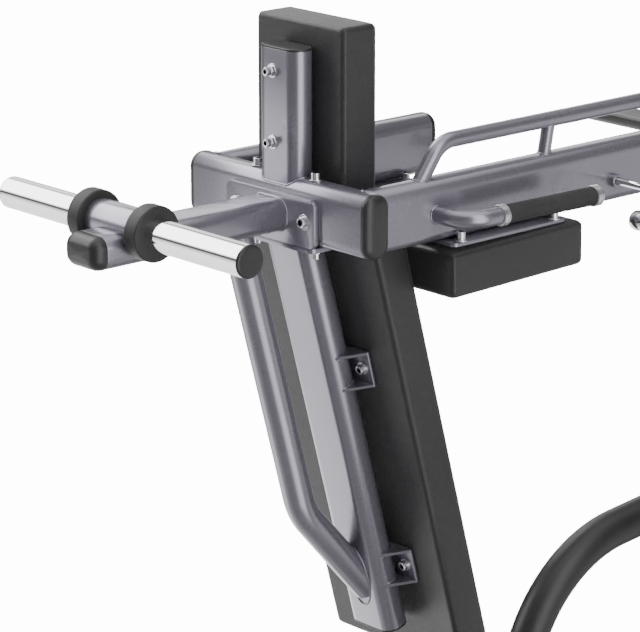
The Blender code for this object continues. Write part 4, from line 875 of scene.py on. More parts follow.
def side_at(offset, section):
    """How far the side of a rounded section stands from its middle, at an offset across it."""
    width, depth, radius = section
    over = max(0.0, abs(offset) - (depth / 2 - radius))
    return width / 2 - radius + max(0.0, radius ** 2 - over ** 2) ** 0.5


def crest(offset):
    """How high the beam stands at an offset from its middle."""
    return side_at(offset, (BEAM_DEPTH, BEAM_WIDTH, BEAM_RADIUS))


def settle(points, along, gap):
    """Slide each point along a direction until the gap closes."""
    for point in points:
        for _ in range(24):
            point += along * gap(point)
    return points


print("the beam's top is", round(crest(0), 3), "m above its middle")

# %% Laying a bead


def evenly(points, spacing):
    """The same path in equal short steps."""
    laid = [points[0].copy()]
    left = spacing
    for start, end in zip(points, points[1:]):
        run = end - start
        done = left
        while done < run.length:
            laid.append(start + run * (done / run.length))
            done += spacing
        left = done - run.length
    return laid


def bead(shape, path, size=0.0020, ends_meet=True):
    """A rippled strip along a path: a circle extruded step by step."""
    path = evenly(closed(path) if ends_meet else path, RIPPLE)
    if ends_meet and (path[-1] - path[0]).length < RIPPLE * 0.5:
        path.pop()
    last = len(path) - 1
    rings = []
    for k, here in enumerate(path):
        ahead = path[(k + 1) % len(path)] if ends_meet else path[min(k + 1, last)]
        behind = path[k - 1] if ends_meet else path[max(k - 1, 0)]
        swell = 1 + 0.13 * sin(k * 2.1) + 0.07 * noise.noise(here * 400)
        taper = 1 if ends_meet else min(1, 0.45 + 0.2 * min(k, last - k))
        rings.append(look_along(here, ahead - behind) @ Matrix.Scale(swell * taper, 4))
    work = bmesh.new()
    bmesh.ops.create_circle(work, cap_ends=False, radius=size, segments=7, matrix=rings[0])
    rim, before = work.edges[:], rings[0]
    for place in rings[1:] + rings[:1] * ends_meet:
        rim = extend(work, rim, place @ before.inverted())
        before = place
    if ends_meet:
        bmesh.ops.remove_doubles(work, verts=work.verts, dist=0.00002)
    else:
        close_holes(work)
    return put(work, HERE, shape)


print("a bead ripples every", RIPPLE, "m")

# %% Welds of the beams, the post and the horn
welds = bmesh.new()
for middle in (BEAM_OFFSET, -BEAM_OFFSET):
    bead(welds, [at(middle + x, CROSS_STATION + side_at(z, BEAM), BEAM_HEIGHT + z)
                 for x, z in outline_of(BEAM)])
bead(welds, [at(x, POST_STATION + y, BEAM_HEIGHT + crest(y + POST_SHIFT))
             for x, y in outline_of(POST)], 0.0018)
bead(welds, [at(x, FLANGE_REAR, HORN_MIDDLE + z) for x, z in outline_of(HORN)])
sleeve_path = []
for label, side in SIDES:
    for step in range(25):
        angle = radians(-90 + side * (75 - 150 * step / 24))
        y, z = SLEEVE_RADIUS * cos(angle), SLEEVE_RADIUS * sin(angle)
        sleeve_path.append(BAR + Vector((side * side_at(z + HORN_DROP, HORN), y, z)))
bead(welds, sleeve_path, 0.0018)
print("weld points so far:", len(welds.verts))

# %% Welds of the back frame, the handles and the rail
spine_path = [on_spine(0, SPINE_DEPTH / 2 + y, x) for x, y in outline_of(SPINE)]
bead(welds, settle(spine_path, DOWN, lambda p: p.z - PLATE_BOTTOM))
bow_ring = circle(BOW_RADIUS)
bead(welds, settle([bow_top + X_AXIS * x + AHEAD * y for x, y in bow_ring], DOWN,
                   lambda p: p.z - HORN_BOTTOM))
bow_up = bow_out.cross(X_AXIS).normalized()
bead(welds, settle([bow_foot + X_AXIS * x + bow_up * y for x, y in bow_ring], bow_out,
                   lambda p: (bow_foot - p).dot(AHEAD)), 0.0014)
for label, side in SIDES:
    bead(welds, [at(side * BEAM_FACE, HANDLE_STATION + y, HANDLE_HEIGHT + x)
                 for x, y in circle(HANDLE_RADIUS)])
for foot, lean in ((RAIL_REAR, 1), (RAIL_POST, 0), (RAIL_FRONT, -1)):
    leg = Vector((0, -lean * RAIL_SPREAD, -(RAIL_RISE + RAIL_SUNK))).normalized() if lean else -Z_AXIS
    square = X_AXIS.cross(leg).normalized()
    start = at(BEAM_OFFSET, foot, BEAM_TOP - (RAIL_SUNK if lean else 0)) - leg * (0.020 if lean else 0.012)
    points = [start + X_AXIS * x + square * y for x, y in circle(RAIL_TUBE if lean else RAIL_POST_RADIUS)]
    bead(welds, settle(points, leg, lambda p: p.z - BEAM_HEIGHT - crest(p.x - BEAM_OFFSET)), 0.0019)
for station in BRACKET_STATIONS:
    for label, side in SIDES:
        for height in (-1, 1):
            along = station + height * (BRACKET_HEIGHT / 2 - BRACKET_THICK - 0.0008)
            path = []
            for step in range(8):
                out, back = round_side(SPINE_RADIUS + 0.0004, radians(22) + (TAIL - radians(28)) * step / 7)
                path.append(on_spine(along, SPINE_DEPTH + BRACKET_THICK - back, side * out))
            bead(welds, path, 0.0016, ends_meet=False)
dress(welds, "weld_beads", SILVER, smooth=75)
print("welds laid")

# %% [markdown]
# ## Bolts
#
# The machine is bolted together with zinc plated cap screws on washers. The washer is
# lathe work. The head is a circle extruded to its height and drawn in at its rim. Its
# six-sided socket is an inset face whose corners are pulled onto a hexagon and then
# pushed down, and the faces in it take the second finish, a dark painted shade.

# %% Bolt helpers
WASHER, NUT = 0.0018, 0.0055


def round_sheet(radius, segments):
    work = bmesh.new()
    bmesh.ops.create_circle(work, cap_ends=True, radius=radius, segments=segments)
    return work


def hex_nut(shape, place, along, radius):
    work = round_sheet(radius, 6)
    thickened(work, NUT)
    bmesh.ops.recalc_face_normals(work, faces=work.faces)
    flat = [e for e in work.edges if abs((e.verts[0].co - e.verts[1].co).z) < 0.0001]
    round_edges(work, flat, 0.0006)
    put(work, look_along(place, along), shape)


def cap_screw(shape, place, along, size=0.0078, height=0.0095, washer=0.0112, nut=False):
    """A socket head on a washer, standing on a surface; with nut=True a hex nut lies under the head."""
    up = along.normalized()
    ring = [(0, 0), (washer, 0), (washer, WASHER * 0.8), (washer - 0.0004, WASHER), (0, WASHER)]
    turned(ring, place, along, 32, shape)
    seat = place + up * WASHER
    if nut:
        hex_nut(shape, seat, along, size * 1.12)
        seat, size, height = seat + up * NUT, size * 0.86, height * 0.90
    head = round_sheet(size, 36)
    top = thickened(head, height - 0.0008)[0]
    for rise, inward in ((0.0005, 0.0003), (0.0003, 0.0006)):
        top = raised(head, top, rise, 1 - inward / size)
    bmesh.ops.inset_individual(head, faces=[top], thickness=size * 0.34, depth=0)
    for vertex in top.verts:
        around = Vector((1, 0)).angle_signed(vertex.co.xy) % (pi / 3) - pi / 6
        flat = vertex.co.xy.normalized() * size * 0.56 / cos(around)
        vertex.co = (*flat, vertex.co.z)
    raised(head, top, -height * 0.7)
    # Faces deep in the socket take material 1, the dark painted shade of the recess.
    for face in head.faces:
        face.material_index = int(all(v.co.xy.length < size * 0.66 for v in face.verts))
    return put(head, look_along(seat, along), shape)


print("a washer is", WASHER, "m thick")

# %% Carriage bolts
POST_BOLTS, FLANGE_BOLT = (0.211, 0.100), 0.080
SHOULDER_BOLTS, SHOULDER_STATIONS = (0.202, 0.138), (0.500, 0.704)
PAD_BOLT, CLAMP_BOLT = 0.0665, 0.067
bolts = bmesh.new()
for height in POST_BOLTS:
    cap_screw(bolts, at(-0.006, POST_STATION - POST_DEPTH / 2, BEAM_HEIGHT + height), -Y_AXIS, nut=True)
for x in (FLANGE_BOLT, -FLANGE_BOLT):
    cap_screw(bolts, at(x, FLANGE_REAR, HORN_MIDDLE - 0.001), -Y_AXIS, 0.0085, 0.007, 0.0125)
for label, side in SIDES:
    for x in SHOULDER_BOLTS:
        for station in SHOULDER_STATIONS:
            cap_screw(bolts, at(side * x, station, PLATE_TOP), Z_AXIS, 0.0072, 0.013, 0.0100)
    for station in BRACKET_STATIONS:
        cap_screw(bolts, on_spine(station, SPINE_DEPTH - 0.0005, side * PAD_BOLT), -AHEAD, height=0.008)
dress(bolts, "carriage_bolts", ZINC, smooth=30)
for label, side in SIDES:
    long_bolt = bmesh.new()
    x = side * CLAMP_BOLT
    cap_screw(long_bolt, at(x, CROSS_STATION, BEAM_TOP - 0.0002), Z_AXIS, height=0.010)
    cap_screw(long_bolt, at(x, CROSS_STATION, PLATE_BOTTOM + 0.0002), -Z_AXIS, height=0.010, nut=True)
    dress(long_bolt, label + "_clamp_bolt", ZINC, "clamp_bolt_" + label, smooth=30)
print("bolts on the carriage:", 2 + 2 + 8 + 4 + 2)

# %% [markdown]
# ## Pads
#
# A gym pad is a plywood board with firm foam on it under stretched vinyl, so its sides are
# almost flat, its edges are rounded by the foam, and its face swells a little. The swell
# is simulated: a slightly smaller block is turned into an even net of cloth, its rim is
# glued to the board, and air pressure pushes the rest out. The move of each point is kept
# small because the foam is firm.

# %% Pad block
NET = 0.005


def baked(body):
    """The final mesh of an object, which is then thrown away."""
    graph = bpy.context.evaluated_depsgraph_get()
    mesh = bpy.data.meshes.new_from_object(body.evaluated_get(graph))
    bpy.data.objects.remove(body, do_unlink=True)
    return mesh


def grown_block(name, width, length, thick, edge):
    """A rounded block standing on local zero, turned into an even net."""
    work = rounded_block(width, length, thick, lift=thick / 2)
    low_edges = [e for e in work.edges if all(v.co.z < 0.0001 for v in e.verts)]
    round_edges(work, [e for e in work.edges if e not in low_edges], edge, 5)
    low_edges = [e for e in work.edges if all(v.co.z < 0.0001 for v in e.verts) and e.calc_face_angle(0) > 1]
    round_edges(work, low_edges, 0.005, 3)
    bmesh.ops.recalc_face_normals(work, faces=work.faces)
    block = stand(name, mesh_of(work, name))
    net = block.modifiers.new("net", "REMESH")
    net.mode = "VOXEL"
    net.voxel_size = NET
    bpy.context.view_layer.update()
    return baked(block)


print("the net's mesh width is", NET, "m")

# %% Air under the vinyl
FRAMES, RIM, SWELL = 20, 0.014, 0.0026


def inflate(mesh, size):
    """Air pressure for a few frames. The rim is glued to the board's edge; elsewhere the move is capped."""
    rest = [v.co.copy() for v in mesh.vertices]
    body = stand("inflating", mesh)
    glued = body.vertex_groups.new(name="glued")
    for vertex in mesh.vertices:
        x, y, z = vertex.co
        depths = sorted((size[0] / 2 - abs(x), size[1] / 2 - abs(y), min(z, size[2] - z)))
        if depths[1] < RIM or z < RIM:
            glued.add([vertex.index], 1.0, "REPLACE")
    air = body.modifiers.new("air", "CLOTH").settings
    air.vertex_group_mass = "glued"
    air.use_pressure = True
    air.uniform_pressure_force = 4
    air.effector_weights.gravity = 0
    air.quality = 5
    for number in range(1, FRAMES + 1):
        bpy.context.scene.frame_set(number)
    blown = baked(body)
    bpy.context.scene.frame_set(1)
    for vertex, start in zip(blown.vertices, rest):
        move = vertex.co - start
        if move.length > 0:
            vertex.co = start + move.normalized() * SWELL * (1 - exp(-move.length / SWELL))
    return blown


print("a pad swells by at most", SWELL, "m")

# %% Pad helper
SHY, PAD_FILL = 0.0012, 0.9


def pad(name, node, size, matrix, edge=0.008):
    width, length, thick = size
    block = (width - 2 * SHY, length - 2 * SHY, thick - SHY - 0.001)
    mesh = grown_block(name, *block, edge)
    mesh = inflate(mesh, block)
    mesh.transform(Matrix.Translation((0, 0, 0.0005)))
    shape = bmesh.new()
    shape.from_mesh(mesh)
    bpy.data.meshes.remove(mesh)
    for vertex in shape.verts:
        vertex.co.z = max(vertex.co.z, 0.0004)
    piece = dress(put(shape, matrix), name, VINYL, node, smooth=180)
    fine = piece.modifiers.new("fine", "SUBSURF")
    fine.levels = fine.render_levels = 1


print("pads are filled to", PAD_FILL)

# %% Pads
BACK_SIZE = 0.311, 0.782, 0.068
SHOULDER_TILT, SHOULDER_LONGER, SHOULDER_THINNER = radians(1.3), 0.020, 0.003
low, high = box_of("head_pad")
size = high - low
pad("head_cushion", "head_pad", (size.x, size.z, size.y),
    look_along(Vector((0, low.y, (low.z + high.z) / 2)), Y_AXIS, X_AXIS))
board = on_spine(0.004 + BACK_SIZE[1] / 2, SPINE_DEPTH + BRACKET_THICK + HAIR, -0.0055)
pad("back_cushion", "back_pad", BACK_SIZE, look_along(board, AHEAD, X_AXIS))
for label, side in SIDES:
    low, high = box_of("shoulder_pad_" + label)
    middle, size = (low + high) / 2, high - low
    front_edge = Matrix.Translation((middle.x, high.y, high.z))
    tilt = front_edge @ Matrix.Rotation(SHOULDER_TILT, 4, "X") @ front_edge.inverted()
    pad(label + "_shoulder_cushion", "shoulder_pad_" + label,
        (size.x, size.y + SHOULDER_LONGER, size.z - SHOULDER_THINNER),
        tilt @ look_along(Vector((middle.x, middle.y + 0.007, high.z)), -Z_AXIS, X_AXIS))
    low, high = box_of("shoulder_plate_" + label)
    board = plate(high - low, (low + high) / 2, Z_AXIS, X_AXIS, 0.010, 0.0008)
    dress(board, label + "_shoulder_board", SILVER, "shoulder_plate_" + label)
print("pads stuffed")

# %% [markdown]
# ## The pivot and the long beam's boss
#
# The carriage hangs from one shaft. The beam is welded to the shaft through a boss, the
# counterweight arm through its hub, and the shaft turns in two blocks on the tower.

# %% Pivot
SHAFT = at(0, PIVOT)
SHAFT_RADIUS, HUB_RADIUS = 0.0175, 0.035
END_COLLAR_RADIUS, END_COLLAR = 0.026, 0.010
LEVER_STATION, LEVER_HEIGHT = 0.847, BEAM_HEIGHT - 0.012


def on_shaft(x):
    return Vector((x, SHAFT.y, SHAFT.z))


boss = round_bar(on_shaft(BEAM_FACE + 0.005), on_shaft(BEAM_FACE - BEAM_WIDTH - 0.005), HUB_RADIUS)
bush = at(BEAM_FACE, LEVER_STATION, LEVER_HEIGHT)
round_bar(bush - X_AXIS * 0.004, bush + X_AXIS * 0.010, 0.011, 0.001, 0.0065, 40, boss)
dress(boss, "beam_boss", SILVER)

shaft_low, shaft_high = box_of("pivot_shaft")
shaft = round_bar(on_shaft(shaft_low.x + END_COLLAR), on_shaft(shaft_high.x - END_COLLAR), SHAFT_RADIUS, HAIR)
for end, out in ((on_shaft(shaft_high.x), X_AXIS), (on_shaft(shaft_low.x), -X_AXIS)):
    round_bar(end, end - out * END_COLLAR, END_COLLAR_RADIUS, 0.0018, shape=shaft)
    cap_screw(shaft, end + out * 0.0002, out, 0.008, 0.006, 0.0140)
dress(shaft, "turning_shaft", ZINC, "pivot_shaft", smooth=30)
print("shaft is", round(shaft_high.x - shaft_low.x, 3), "m long")

# %% [markdown]
# ## Counterweight
#
# Two cast iron discs on a peg balance the carriage. A casting has a raised rim and boss
# with soft fillets, so the profile is drawn with small steps at every corner.

# %% Counterweight arm
arm_x = middle_of("counterweight_arm").x
ARM_REACH, ARM_WIDTH, PEG_RADIUS, PEG_HEAD = 0.540, 0.050, 0.022, 0.034
DISC_RADIUS, DISC_THICK = 0.185, 0.066
peg = on_shaft(arm_x) + Y_AXIS * ARM_REACH
peg_reach = X_AXIS * (ARM_WIDTH / 2 + DISC_THICK + 2 * HAIR)
arm = oval((ARM_WIDTH, 0.060, 0.010), on_shaft(arm_x), peg + Y_AXIS * 0.045, X_AXIS, 0.0012, 6)
round_bar(on_shaft(arm_x - 0.045), on_shaft(arm_x + 0.045), HUB_RADIUS, shape=arm)
round_bar(peg - peg_reach, peg + peg_reach, PEG_RADIUS, 0.0005, shape=arm)
for label, side in SIDES:
    head = peg + peg_reach * side
    round_bar(head, head + X_AXIS * side * 0.008, PEG_HEAD, 0.002, shape=arm)
dress(arm, "weight_arm", SILVER, "counterweight_arm")
print("arm reaches", ARM_REACH, "m past the shaft")

# %% Discs


def fillet(radius_in, height_in, radius_out, height_out, steps=4):
    """A soft step between two heights of a casting."""
    points = []
    for k in range(steps + 1):
        share = (1 - cos(pi * k / steps)) / 2
        points.append((radius_in + (radius_out - radius_in) * k / steps,
                       height_in + (height_out - height_in) * share))
    return points


half = DISC_THICK / 2
hollow = half - 0.005
rim = DISC_RADIUS - 0.022
disc_side = [(PEG_RADIUS + HAIR, half)] + fillet(0.0405, half, 0.0475, hollow)
disc_side += fillet(rim - 0.006, hollow, rim + 0.001, half) + corner(DISC_RADIUS, half, 0.005)
disc = closed(mirrored(disc_side))
for label, side in SIDES:
    centre = peg + X_AXIS * side * (ARM_WIDTH / 2 + HAIR + half)
    dress(turned(disc, centre, X_AXIS, 128), label + "_iron_disc", IRON, "counterweight_disc_" + label,
          smooth=40)
print("discs are", 2 * DISC_RADIUS, "m across")

# %% [markdown]
# ## Release lever
#
# The rod passes through the bush in the beam's side and is bent twice, so that its turned
# grip lies where the near hand finds it. It turns on its own, so it rides on its own body.

# %% Lever
ROD_RADIUS, ROD_BEND, LEVER_OUT, LEVER_DROP = 0.006, 0.016, BEAM_FACE + 0.165, LEVER_HEIGHT - 0.056
KNOB, KNOB_GROOVE, KNOB_BORE = 0.0160, 0.0154, 0.0063
grip_low, grip_high = box_of("release_grip")
rod = pipe([at(BEAM_FACE - 0.028, LEVER_STATION, LEVER_HEIGHT), at(LEVER_OUT, LEVER_STATION, LEVER_HEIGHT),
            at(LEVER_OUT, LEVER_STATION, LEVER_DROP), at(grip_high.x - 0.080, LEVER_STATION, LEVER_DROP)],
           ROD_RADIUS, ROD_BEND, 28, 10)
dress(rod, "lever_rod", CHROME, "release_lever", body=LEVER)
long = grip_high.x - grip_low.x - 0.014
knob = [(0, long), (0.011, long), (0.0135, long - 0.0006), (0.0153, long - 0.0028), (KNOB, long - 0.0065)]
for high_share, low_share in ((0.80, 0.76), (0.10, 0.06)):
    knob += [(KNOB, long * high_share), (KNOB_GROOVE, long * (high_share - 0.01)),
             (KNOB_GROOVE, long * (low_share + 0.01)), (KNOB, long * low_share)]
knob += [(KNOB, 0.003), (0.0148, 0.0008), (0.0135, 0), (KNOB_BORE, 0), (KNOB_BORE, long - 0.006),
         (0, long - 0.006)]
lever_grip = turned(knob, at(grip_high.x, LEVER_STATION, LEVER_DROP), -X_AXIS, 64)
dress(lever_grip, "lever_grip", CHROME, "release_grip", body=LEVER)
print("lever grip", round(long, 3), "m")

# %% [markdown]
# ## The standing frame
#
# The frame on the floor is the same flat-sided tube in black: two rails, three cross
# members and a tower of two uprights. A round hoop guards the near side. Rail ends are
# domed like the caps.

# %% Floor frame


def stock(node, name, radius, along, dome=0.0, rim=0.0006):
    """Flat-sided tube that fills a node's box along one axis."""
    low, high = box_of(node)
    size, middle = high - low, (low + high) / 2
    across, third = (axis for axis in (X_AXIS, Y_AXIS, Z_AXIS) if axis.dot(along) < 0.5)
    reach = along * (size.dot(along) - 2 * dome) / 2
    work = oval((size.dot(across), size.dot(third), radius), middle - reach, middle + reach, across,
                0 if dome else rim)
    if dome:
        for face in [f for f in work.faces if abs(f.normal.dot(along)) > 0.99]:
            domed(work, face, dome, radius * 0.85)
    dress(work, name, BLACK, node, body=STANDING, smooth=50)


for label, side in SIDES:
    stock("floor_rail_" + label, label + "_floor_rail", BEAM_RADIUS, Y_AXIS, dome=0.014)
for place, name in (("stand", "standing_cross"), ("tower", "tower_cross"), ("front", "front_cross")):
    stock(place + "_cross_member", name, BEAM_RADIUS, X_AXIS)
print("floor frame laid")

# %% Feet
SEAT, BOLT_RADIUS, RECESS = 0.0117, 0.005, 0.0012


def upright_box(node):
    """The middle of a round node's underside, its radius and its height."""
    low, high = box_of(node)
    return Vector((*((low + high) / 2).xy, low.z)), (high.x - low.x) / 2, high.z - low.z


for label, side in SIDES:
    for end in ("rear", "front"):
        node = f"rubber_foot_{label}_{end}"
        under, radius, tall = upright_box(node)
        foot = [(0, tall), (BOLT_RADIUS, tall), (BOLT_RADIUS, SEAT), (radius - 0.004, SEAT),
                (radius - 0.0025, SEAT - 0.0006), (radius - 0.0015, SEAT - 0.0022), (radius, 0.0030),
                (radius - 0.0006, 0.0012), (radius - 0.0025, 0.0002), (radius - 0.008, 0),
                (radius - 0.010, RECESS), (0.006, RECESS), (0, RECESS)]
        dress(turned(foot, under, Z_AXIS), f"{label}_{end}_foot", RUBBER, node, body=STANDING)
print("four feet turned")

# %% Hoop
HOOP_RADIUS, HOOP_HEIGHT, HOOP_SLOPE, HOOP_BEND = 0.030, 0.970, 0.100, 0.240
low, high = box_of("side_hoop")
RAIL_TOP = low.z - HAIR
hoop_x = (low.x + high.x) / 2
hoop_rear, hoop_front = low.y + HOOP_RADIUS, high.y - HOOP_RADIUS
hoop_end = HOOP_HEIGHT + HOOP_SLOPE * (hoop_front - hoop_rear)
hoop = pipe([Vector((hoop_x, y, z)) for y, z in ((hoop_rear, RAIL_TOP - 0.002), (hoop_rear, HOOP_HEIGHT),
                                                 (hoop_front, hoop_end), (hoop_front, RAIL_TOP - 0.002))],
            HOOP_RADIUS, HOOP_BEND, 48, 22)
dress(hoop, "guard_hoop", BLACK, "side_hoop", body=STANDING)
print("hoop is", round(hoop_front - hoop_rear, 3), "m wide")

# %% Tower
upright_x = {}
for label, side in SIDES:
    low, high = box_of("tower_upright_" + label)
    x = upright_x[label] = low.x + BEAM_WIDTH / 2
    upright = oval(BEAM, Vector((x, SHAFT.y, low.z)), Vector((x, SHAFT.y, high.z)), X_AXIS)
    if high.x - low.x > BEAM_WIDTH + 0.01:
        bumper_low, bumper_high = box_of("travel_bumper")
        arm_start = Vector((x, (bumper_low.y + bumper_high.y) / 2, bumper_low.z - HAIR - 0.015))
        arm_end = Vector((high.x, arm_start.y, arm_start.z))
        oval((0.042, 0.030, 0.006), arm_start, arm_end, Y_AXIS, 0.001, 5, upright)
    dress(upright, label + "_upright", BLACK, "tower_upright_" + label, body=STANDING)
stock("tower_head_bar", "head_bar", 0.011, X_AXIS, rim=0.0012)
HEAD_BAR_TOP = box_of("tower_head_bar")[1].z
print("tower stands", round(HEAD_BAR_TOP, 3), "m tall")

# %% [markdown]
# ## Bearing blocks
#
# A block is round above the shaft and runs out into a foot below it. Its outline starts as
# a circle whose lower part is pulled down to the foot. Bridged to the bore's circle it is
# a flat ring, and extruded along the shaft it is the block.

# %% Bearing blocks
BLOCK_RADIUS, BLOCK_SIDES, FOOT_HALF = 0.034, 96, 0.032
BORE_RADIUS = SHAFT_RADIUS + 0.0006


def footed(x, y, deep):
    """A point of the block's outline, pulled down towards its foot."""
    if y >= -0.010:
        return x, y
    spread = min(1.0, (-y - 0.010) / 0.018)
    reach = min((deep - HAIR) / max(-y, 0.001), (FOOT_HALF - 0.004 * spread) / max(abs(x), 0.0001), 3.0)
    return x * max(reach, 1.0), y * max(reach, 1.0)


for label, side in SIDES:
    low, high = box_of("bearing_block_" + label)
    length = high.x - low.x
    block = bmesh.new()
    outer = bmesh.ops.create_circle(block, cap_ends=False, radius=BLOCK_RADIUS, segments=BLOCK_SIDES)["verts"]
    for vertex in outer:
        vertex.co.x, vertex.co.y = footed(vertex.co.x, vertex.co.y, SHAFT.z - low.z)
    bmesh.ops.create_circle(block, cap_ends=False, radius=BORE_RADIUS, segments=BLOCK_SIDES)
    bmesh.ops.bridge_loops(block, edges=block.edges[:])
    thickened(block, length)
    clean(block)
    rims = [e for e in block.edges if e.calc_face_angle(0) > radians(60)
            and abs(e.verts[0].co.z - e.verts[1].co.z) < 0.0001]
    round_edges(block, rims, 0.0012, 3)
    along_shaft = Matrix((Y_AXIS, Z_AXIS, X_AXIS)).transposed().to_4x4()
    put(block, Matrix.Translation(on_shaft(low.x)) @ along_shaft)
    dress(block, label + "_bearing", BLACK, "bearing_block_" + label, body=STANDING, smooth=35)
print("blocks bored to", 2 * BORE_RADIUS, "m")

# %% [markdown]
# ## Brace, stops and the standing plate
#
# Two round tubes brace the tower and meet on the front cross member. Rubber bumpers stop
# the arm at rest and the beam at the end of its swing. The sloping plate has a ribbed
# rubber mat. The shelf, the plate and the mat already have the right shape in the packed
# model, so their own facets are merged and their edges rounded.

# %% Brace
BRACE_TOP, BRACE_FOOT, BRACE_TUBE = 1.020, 1.800, (0.042, 0.042, 0.0209)
brace_low = box_of("tower_brace")[0].z
upright_front = SHAFT.y + BEAM_DEPTH / 2
foot = at(arm_x, BRACE_FOOT, brace_low)
braces = bmesh.new()
for label, side in SIDES:
    top = Vector((upright_x[label], upright_front, BRACE_TOP))
    spare = (foot - top).normalized() * 0.06
    tube = oval(BRACE_TUBE, top - spare, foot + spare, X_AXIS, rim=0)
    trim(tube, Vector((0, upright_front + HAIR, 0)), -Y_AXIS)
    trim(tube, Vector((0, 0, brace_low)), -Z_AXIS)
    put(tube, HERE, braces)
dress(braces, "tower_braces", BLACK, "tower_brace", body=STANDING)
print("braces start", BRACE_TOP, "m up")

# %% Stops and standing plate


def softened(node, name, finish, edge):
    """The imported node's own shape, merged back into whole faces, with its sharp edges rounded."""
    work = bmesh.new()
    work.from_mesh(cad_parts[node].data)
    bmesh.ops.remove_doubles(work, verts=work.verts, dist=TOUCHING)
    bmesh.ops.dissolve_limit(work, angle_limit=radians(0.5), verts=work.verts, edges=work.edges)
    sharp = [e for e in work.edges if e.is_manifold and e.calc_face_angle(0) > radians(35)]
    round_edges(work, sharp, edge, clamp_overlap=True)
    dress(work, name, finish, node, body=STANDING)


softened("stop_shelf", "rest_shelf", BLACK, 0.0010)
softened("foot_platform", "standing_plate", BLACK, 0.0008)
softened("platform_mat", "ribbed_mat", RUBBER, 0.0005)
for node, name in (("rest_bumper", "rest_buffer"), ("travel_bumper", "travel_buffer")):
    under, radius, tall = upright_box(node)
    profile = [(0, tall)] + corner(radius, tall, 0.005, 5)
    profile += [(radius - 0.0012, tall * 0.4), (radius - 0.0015, 0.001), (radius - 0.0025, 0), (0, 0)]
    dress(turned(profile, under, Z_AXIS), name, RUBBER, node, body=STANDING)
print("stops and plate done")

# %% [markdown]
# ## Frame welds and bolts
#
# The black frame has the same beads, and the bearing blocks are bolted down.

# %% Frame welds
frame_welds = bmesh.new()
for label, side in SIDES:
    for height in (point.z for point in box_of("tower_upright_" + label)):
        bead(frame_welds, [Vector((upright_x[label] + x, SHAFT.y + y, height)) for x, y in outline_of(BEAM)])
for station in (hoop_rear, hoop_front):
    bead(frame_welds, [Vector((hoop_x + x, station + y, RAIL_TOP)) for x, y in circle(HOOP_RADIUS)], 0.0030)
dress(frame_welds, "frame_weld_beads", BLACK, body=STANDING, smooth=75)

BLOCK_BOLT, BLOCK_FOOT = 0.0245, 0.012
frame_bolts = bmesh.new()
for label, side in SIDES:
    x = middle_of("bearing_block_" + label).x
    for y in (BLOCK_BOLT, -BLOCK_BOLT):
        place = Vector((x, SHAFT.y + y, HEAD_BAR_TOP + BLOCK_FOOT))
        cap_screw(frame_bolts, place, Z_AXIS, 0.0055, 0.006, 0.0070)
dress(frame_bolts, "block_bolts", ZINC, body=STANDING, smooth=30)
print("frame finished")

# %% [markdown]
# ## Studio
#
# The machine was photographed on white paper. The paper is only there for the camera to
# see: what lights the machine and shows in its gloss is a sky painted by direction, with
# a bright ceiling, soft strips at the sides and dark gaps between them. The strips are
# what gives the round edges of the tubes their bright and dark lines. The paper has a
# lamp of its own, so it turns white and still takes the machine's soft shadow.

# %% Sky toolkit
world = bpy.data.worlds.new("studio")
world.use_nodes = True
bpy.context.scene.world = world


class Sky(Paint):
    """The same toolkit for the world: strips of light by direction."""

    def __init__(self, tree):
        self.tree = tree
        way = self.node("ShaderNodeTexCoord", output="Generated")
        self.x, self.y, self.z = (self.node("ShaderNodeSeparateXYZ", None, {0: way}, output=n)
                                  for n in range(3))
        self.bearing = self.x.maths("ARCTAN2", self.x, 0 - self.y)
        self.pitch = self.z.maths("ARCTAN2", self.z, self.y)

    def turn(self, value, low, high, dark=0.0, light=1.0):
        """A ramp between two angles in degrees."""
        return self.band(value, radians(low), radians(high), dark, light)

    def between(self, value, low, high, soft):
        """One inside low to high, nothing outside, with soft ends."""
        return self.band(value, low - soft, low + soft) * self.band(value, high - soft, high + soft, 1.0, 0.0)

    def across(self, value, low, high, soft):
        """The same between two angles in degrees."""
        return self.between(value, radians(low), radians(high), radians(soft))


sky = Sky(world.node_tree)
print("a direction has a bearing and a height")

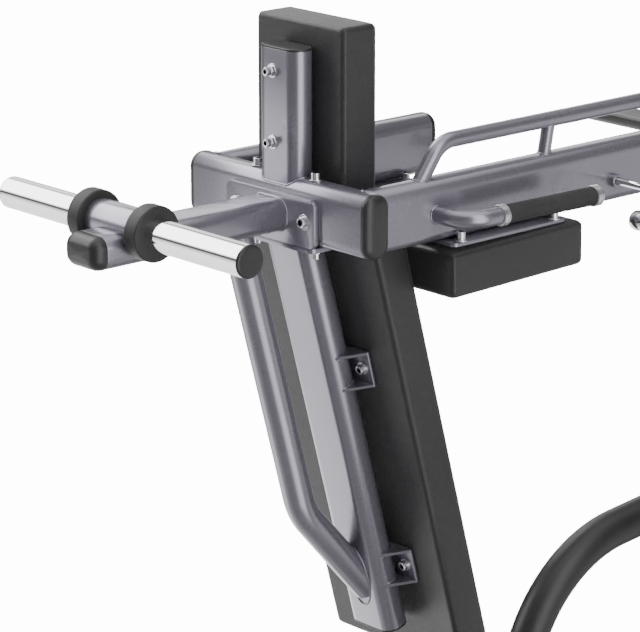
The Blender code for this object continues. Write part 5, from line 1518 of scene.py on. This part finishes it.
# %% Sky
STRIPS = (((-160, -104, 7), (-0.52, -0.04, 0.04), 0.70), ((118, 172, 8), (-0.85, 0.10, 0.08), 0.58),
          ((62, 102, 6), (-0.60, 0.85, 0.08), 3.0),
          ((-152, -108, 8), (sin(radians(9)), sin(radians(31)), 0.04), 1.7))
rear_left = sky.across(sky.bearing, -150, -18, 14)
light = 0.15 + sky.band(sky.z, sin(radians(42)), sin(radians(64))) * 1.5
light += sky.band(sky.z, -0.04, -0.20) * 0.18 + sky.band(sky.z, -0.10, -0.60) * rear_left * 0.55
for bearings, heights, strength in STRIPS:
    light += sky.across(sky.bearing, *bearings) * sky.between(sky.z, *heights) * strength
high_part = sky.across(sky.pitch, 64, 162, 6) * 6.0
low_part = (sky.turn(sky.pitch, -182, -160, 0.30, 1.0) * sky.turn(sky.pitch, -150, -110, 1.85, 1.35)
            * sky.turn(sky.pitch, -34, -22, 1.0, 0.0))
light += sky.between(sky.x, -0.86, -0.56, 0.03) * (high_part + low_part)
background = world.node_tree.nodes["Background"].inputs
sky.tree.links.new(light.socket, background["Strength"])
background["Color"].default_value = (1.0, 0.985, 0.995, 1)
print("sky painted with", len(world.node_tree.nodes), "nodes")

# %% Paper floor and backdrop
PAPER_SPAN, PAPER_WHITE = 60.0, 13.0


def paper_finish(glow):
    paint = Paint("studio paper", Roughness=0.9, Emission_Strength=glow)
    mottle = paint.noise(1.5, 2.0)
    colour = paint.blend(mottle, (0.93, 0.93, 0.93), (0.97, 0.97, 0.97))
    paint.tree.links.new(colour.socket, paint.shader.inputs["Emission Color"])
    return paint.finish(colour, 0.9 - mottle * 0.05)


def only_seen(name, shape, glow):
    mesh = mesh_of(shape, name)
    mesh.materials.append(paper_finish(glow))
    made = stand(name, mesh)
    for ray in ("diffuse", "glossy", "transmission", "shadow"):
        setattr(made, "visible_" + ray, False)
    return made


paper = bmesh.new()
bmesh.ops.create_grid(paper, x_segments=4, y_segments=4, size=PAPER_SPAN / 2)
bmesh.ops.translate(paper, vec=(0, 0, -0.0005), verts=paper.verts)
floor = only_seen("studio_floor", paper, PAPER_WHITE * 0.25)
wall = bmesh.new()
bmesh.ops.create_uvsphere(wall, u_segments=48, v_segments=24, radius=PAPER_SPAN * 0.45)
bmesh.ops.reverse_faces(wall, faces=wall.faces)
only_seen("studio_wall", wall, PAPER_WHITE)
print("paper laid")

# %% Paper lamp
lamp = bpy.data.lights.new("paper_lamp", "SUN")
lamp.energy = PAPER_WHITE * pi * 0.8
lamp.angle = radians(75)
paper_lamp = stand("paper_lamp", lamp)
paper_only = bpy.data.collections.new("paper_only")
paper_only.objects.link(floor)
paper_lamp.light_linking.receiver_collection = paper_only
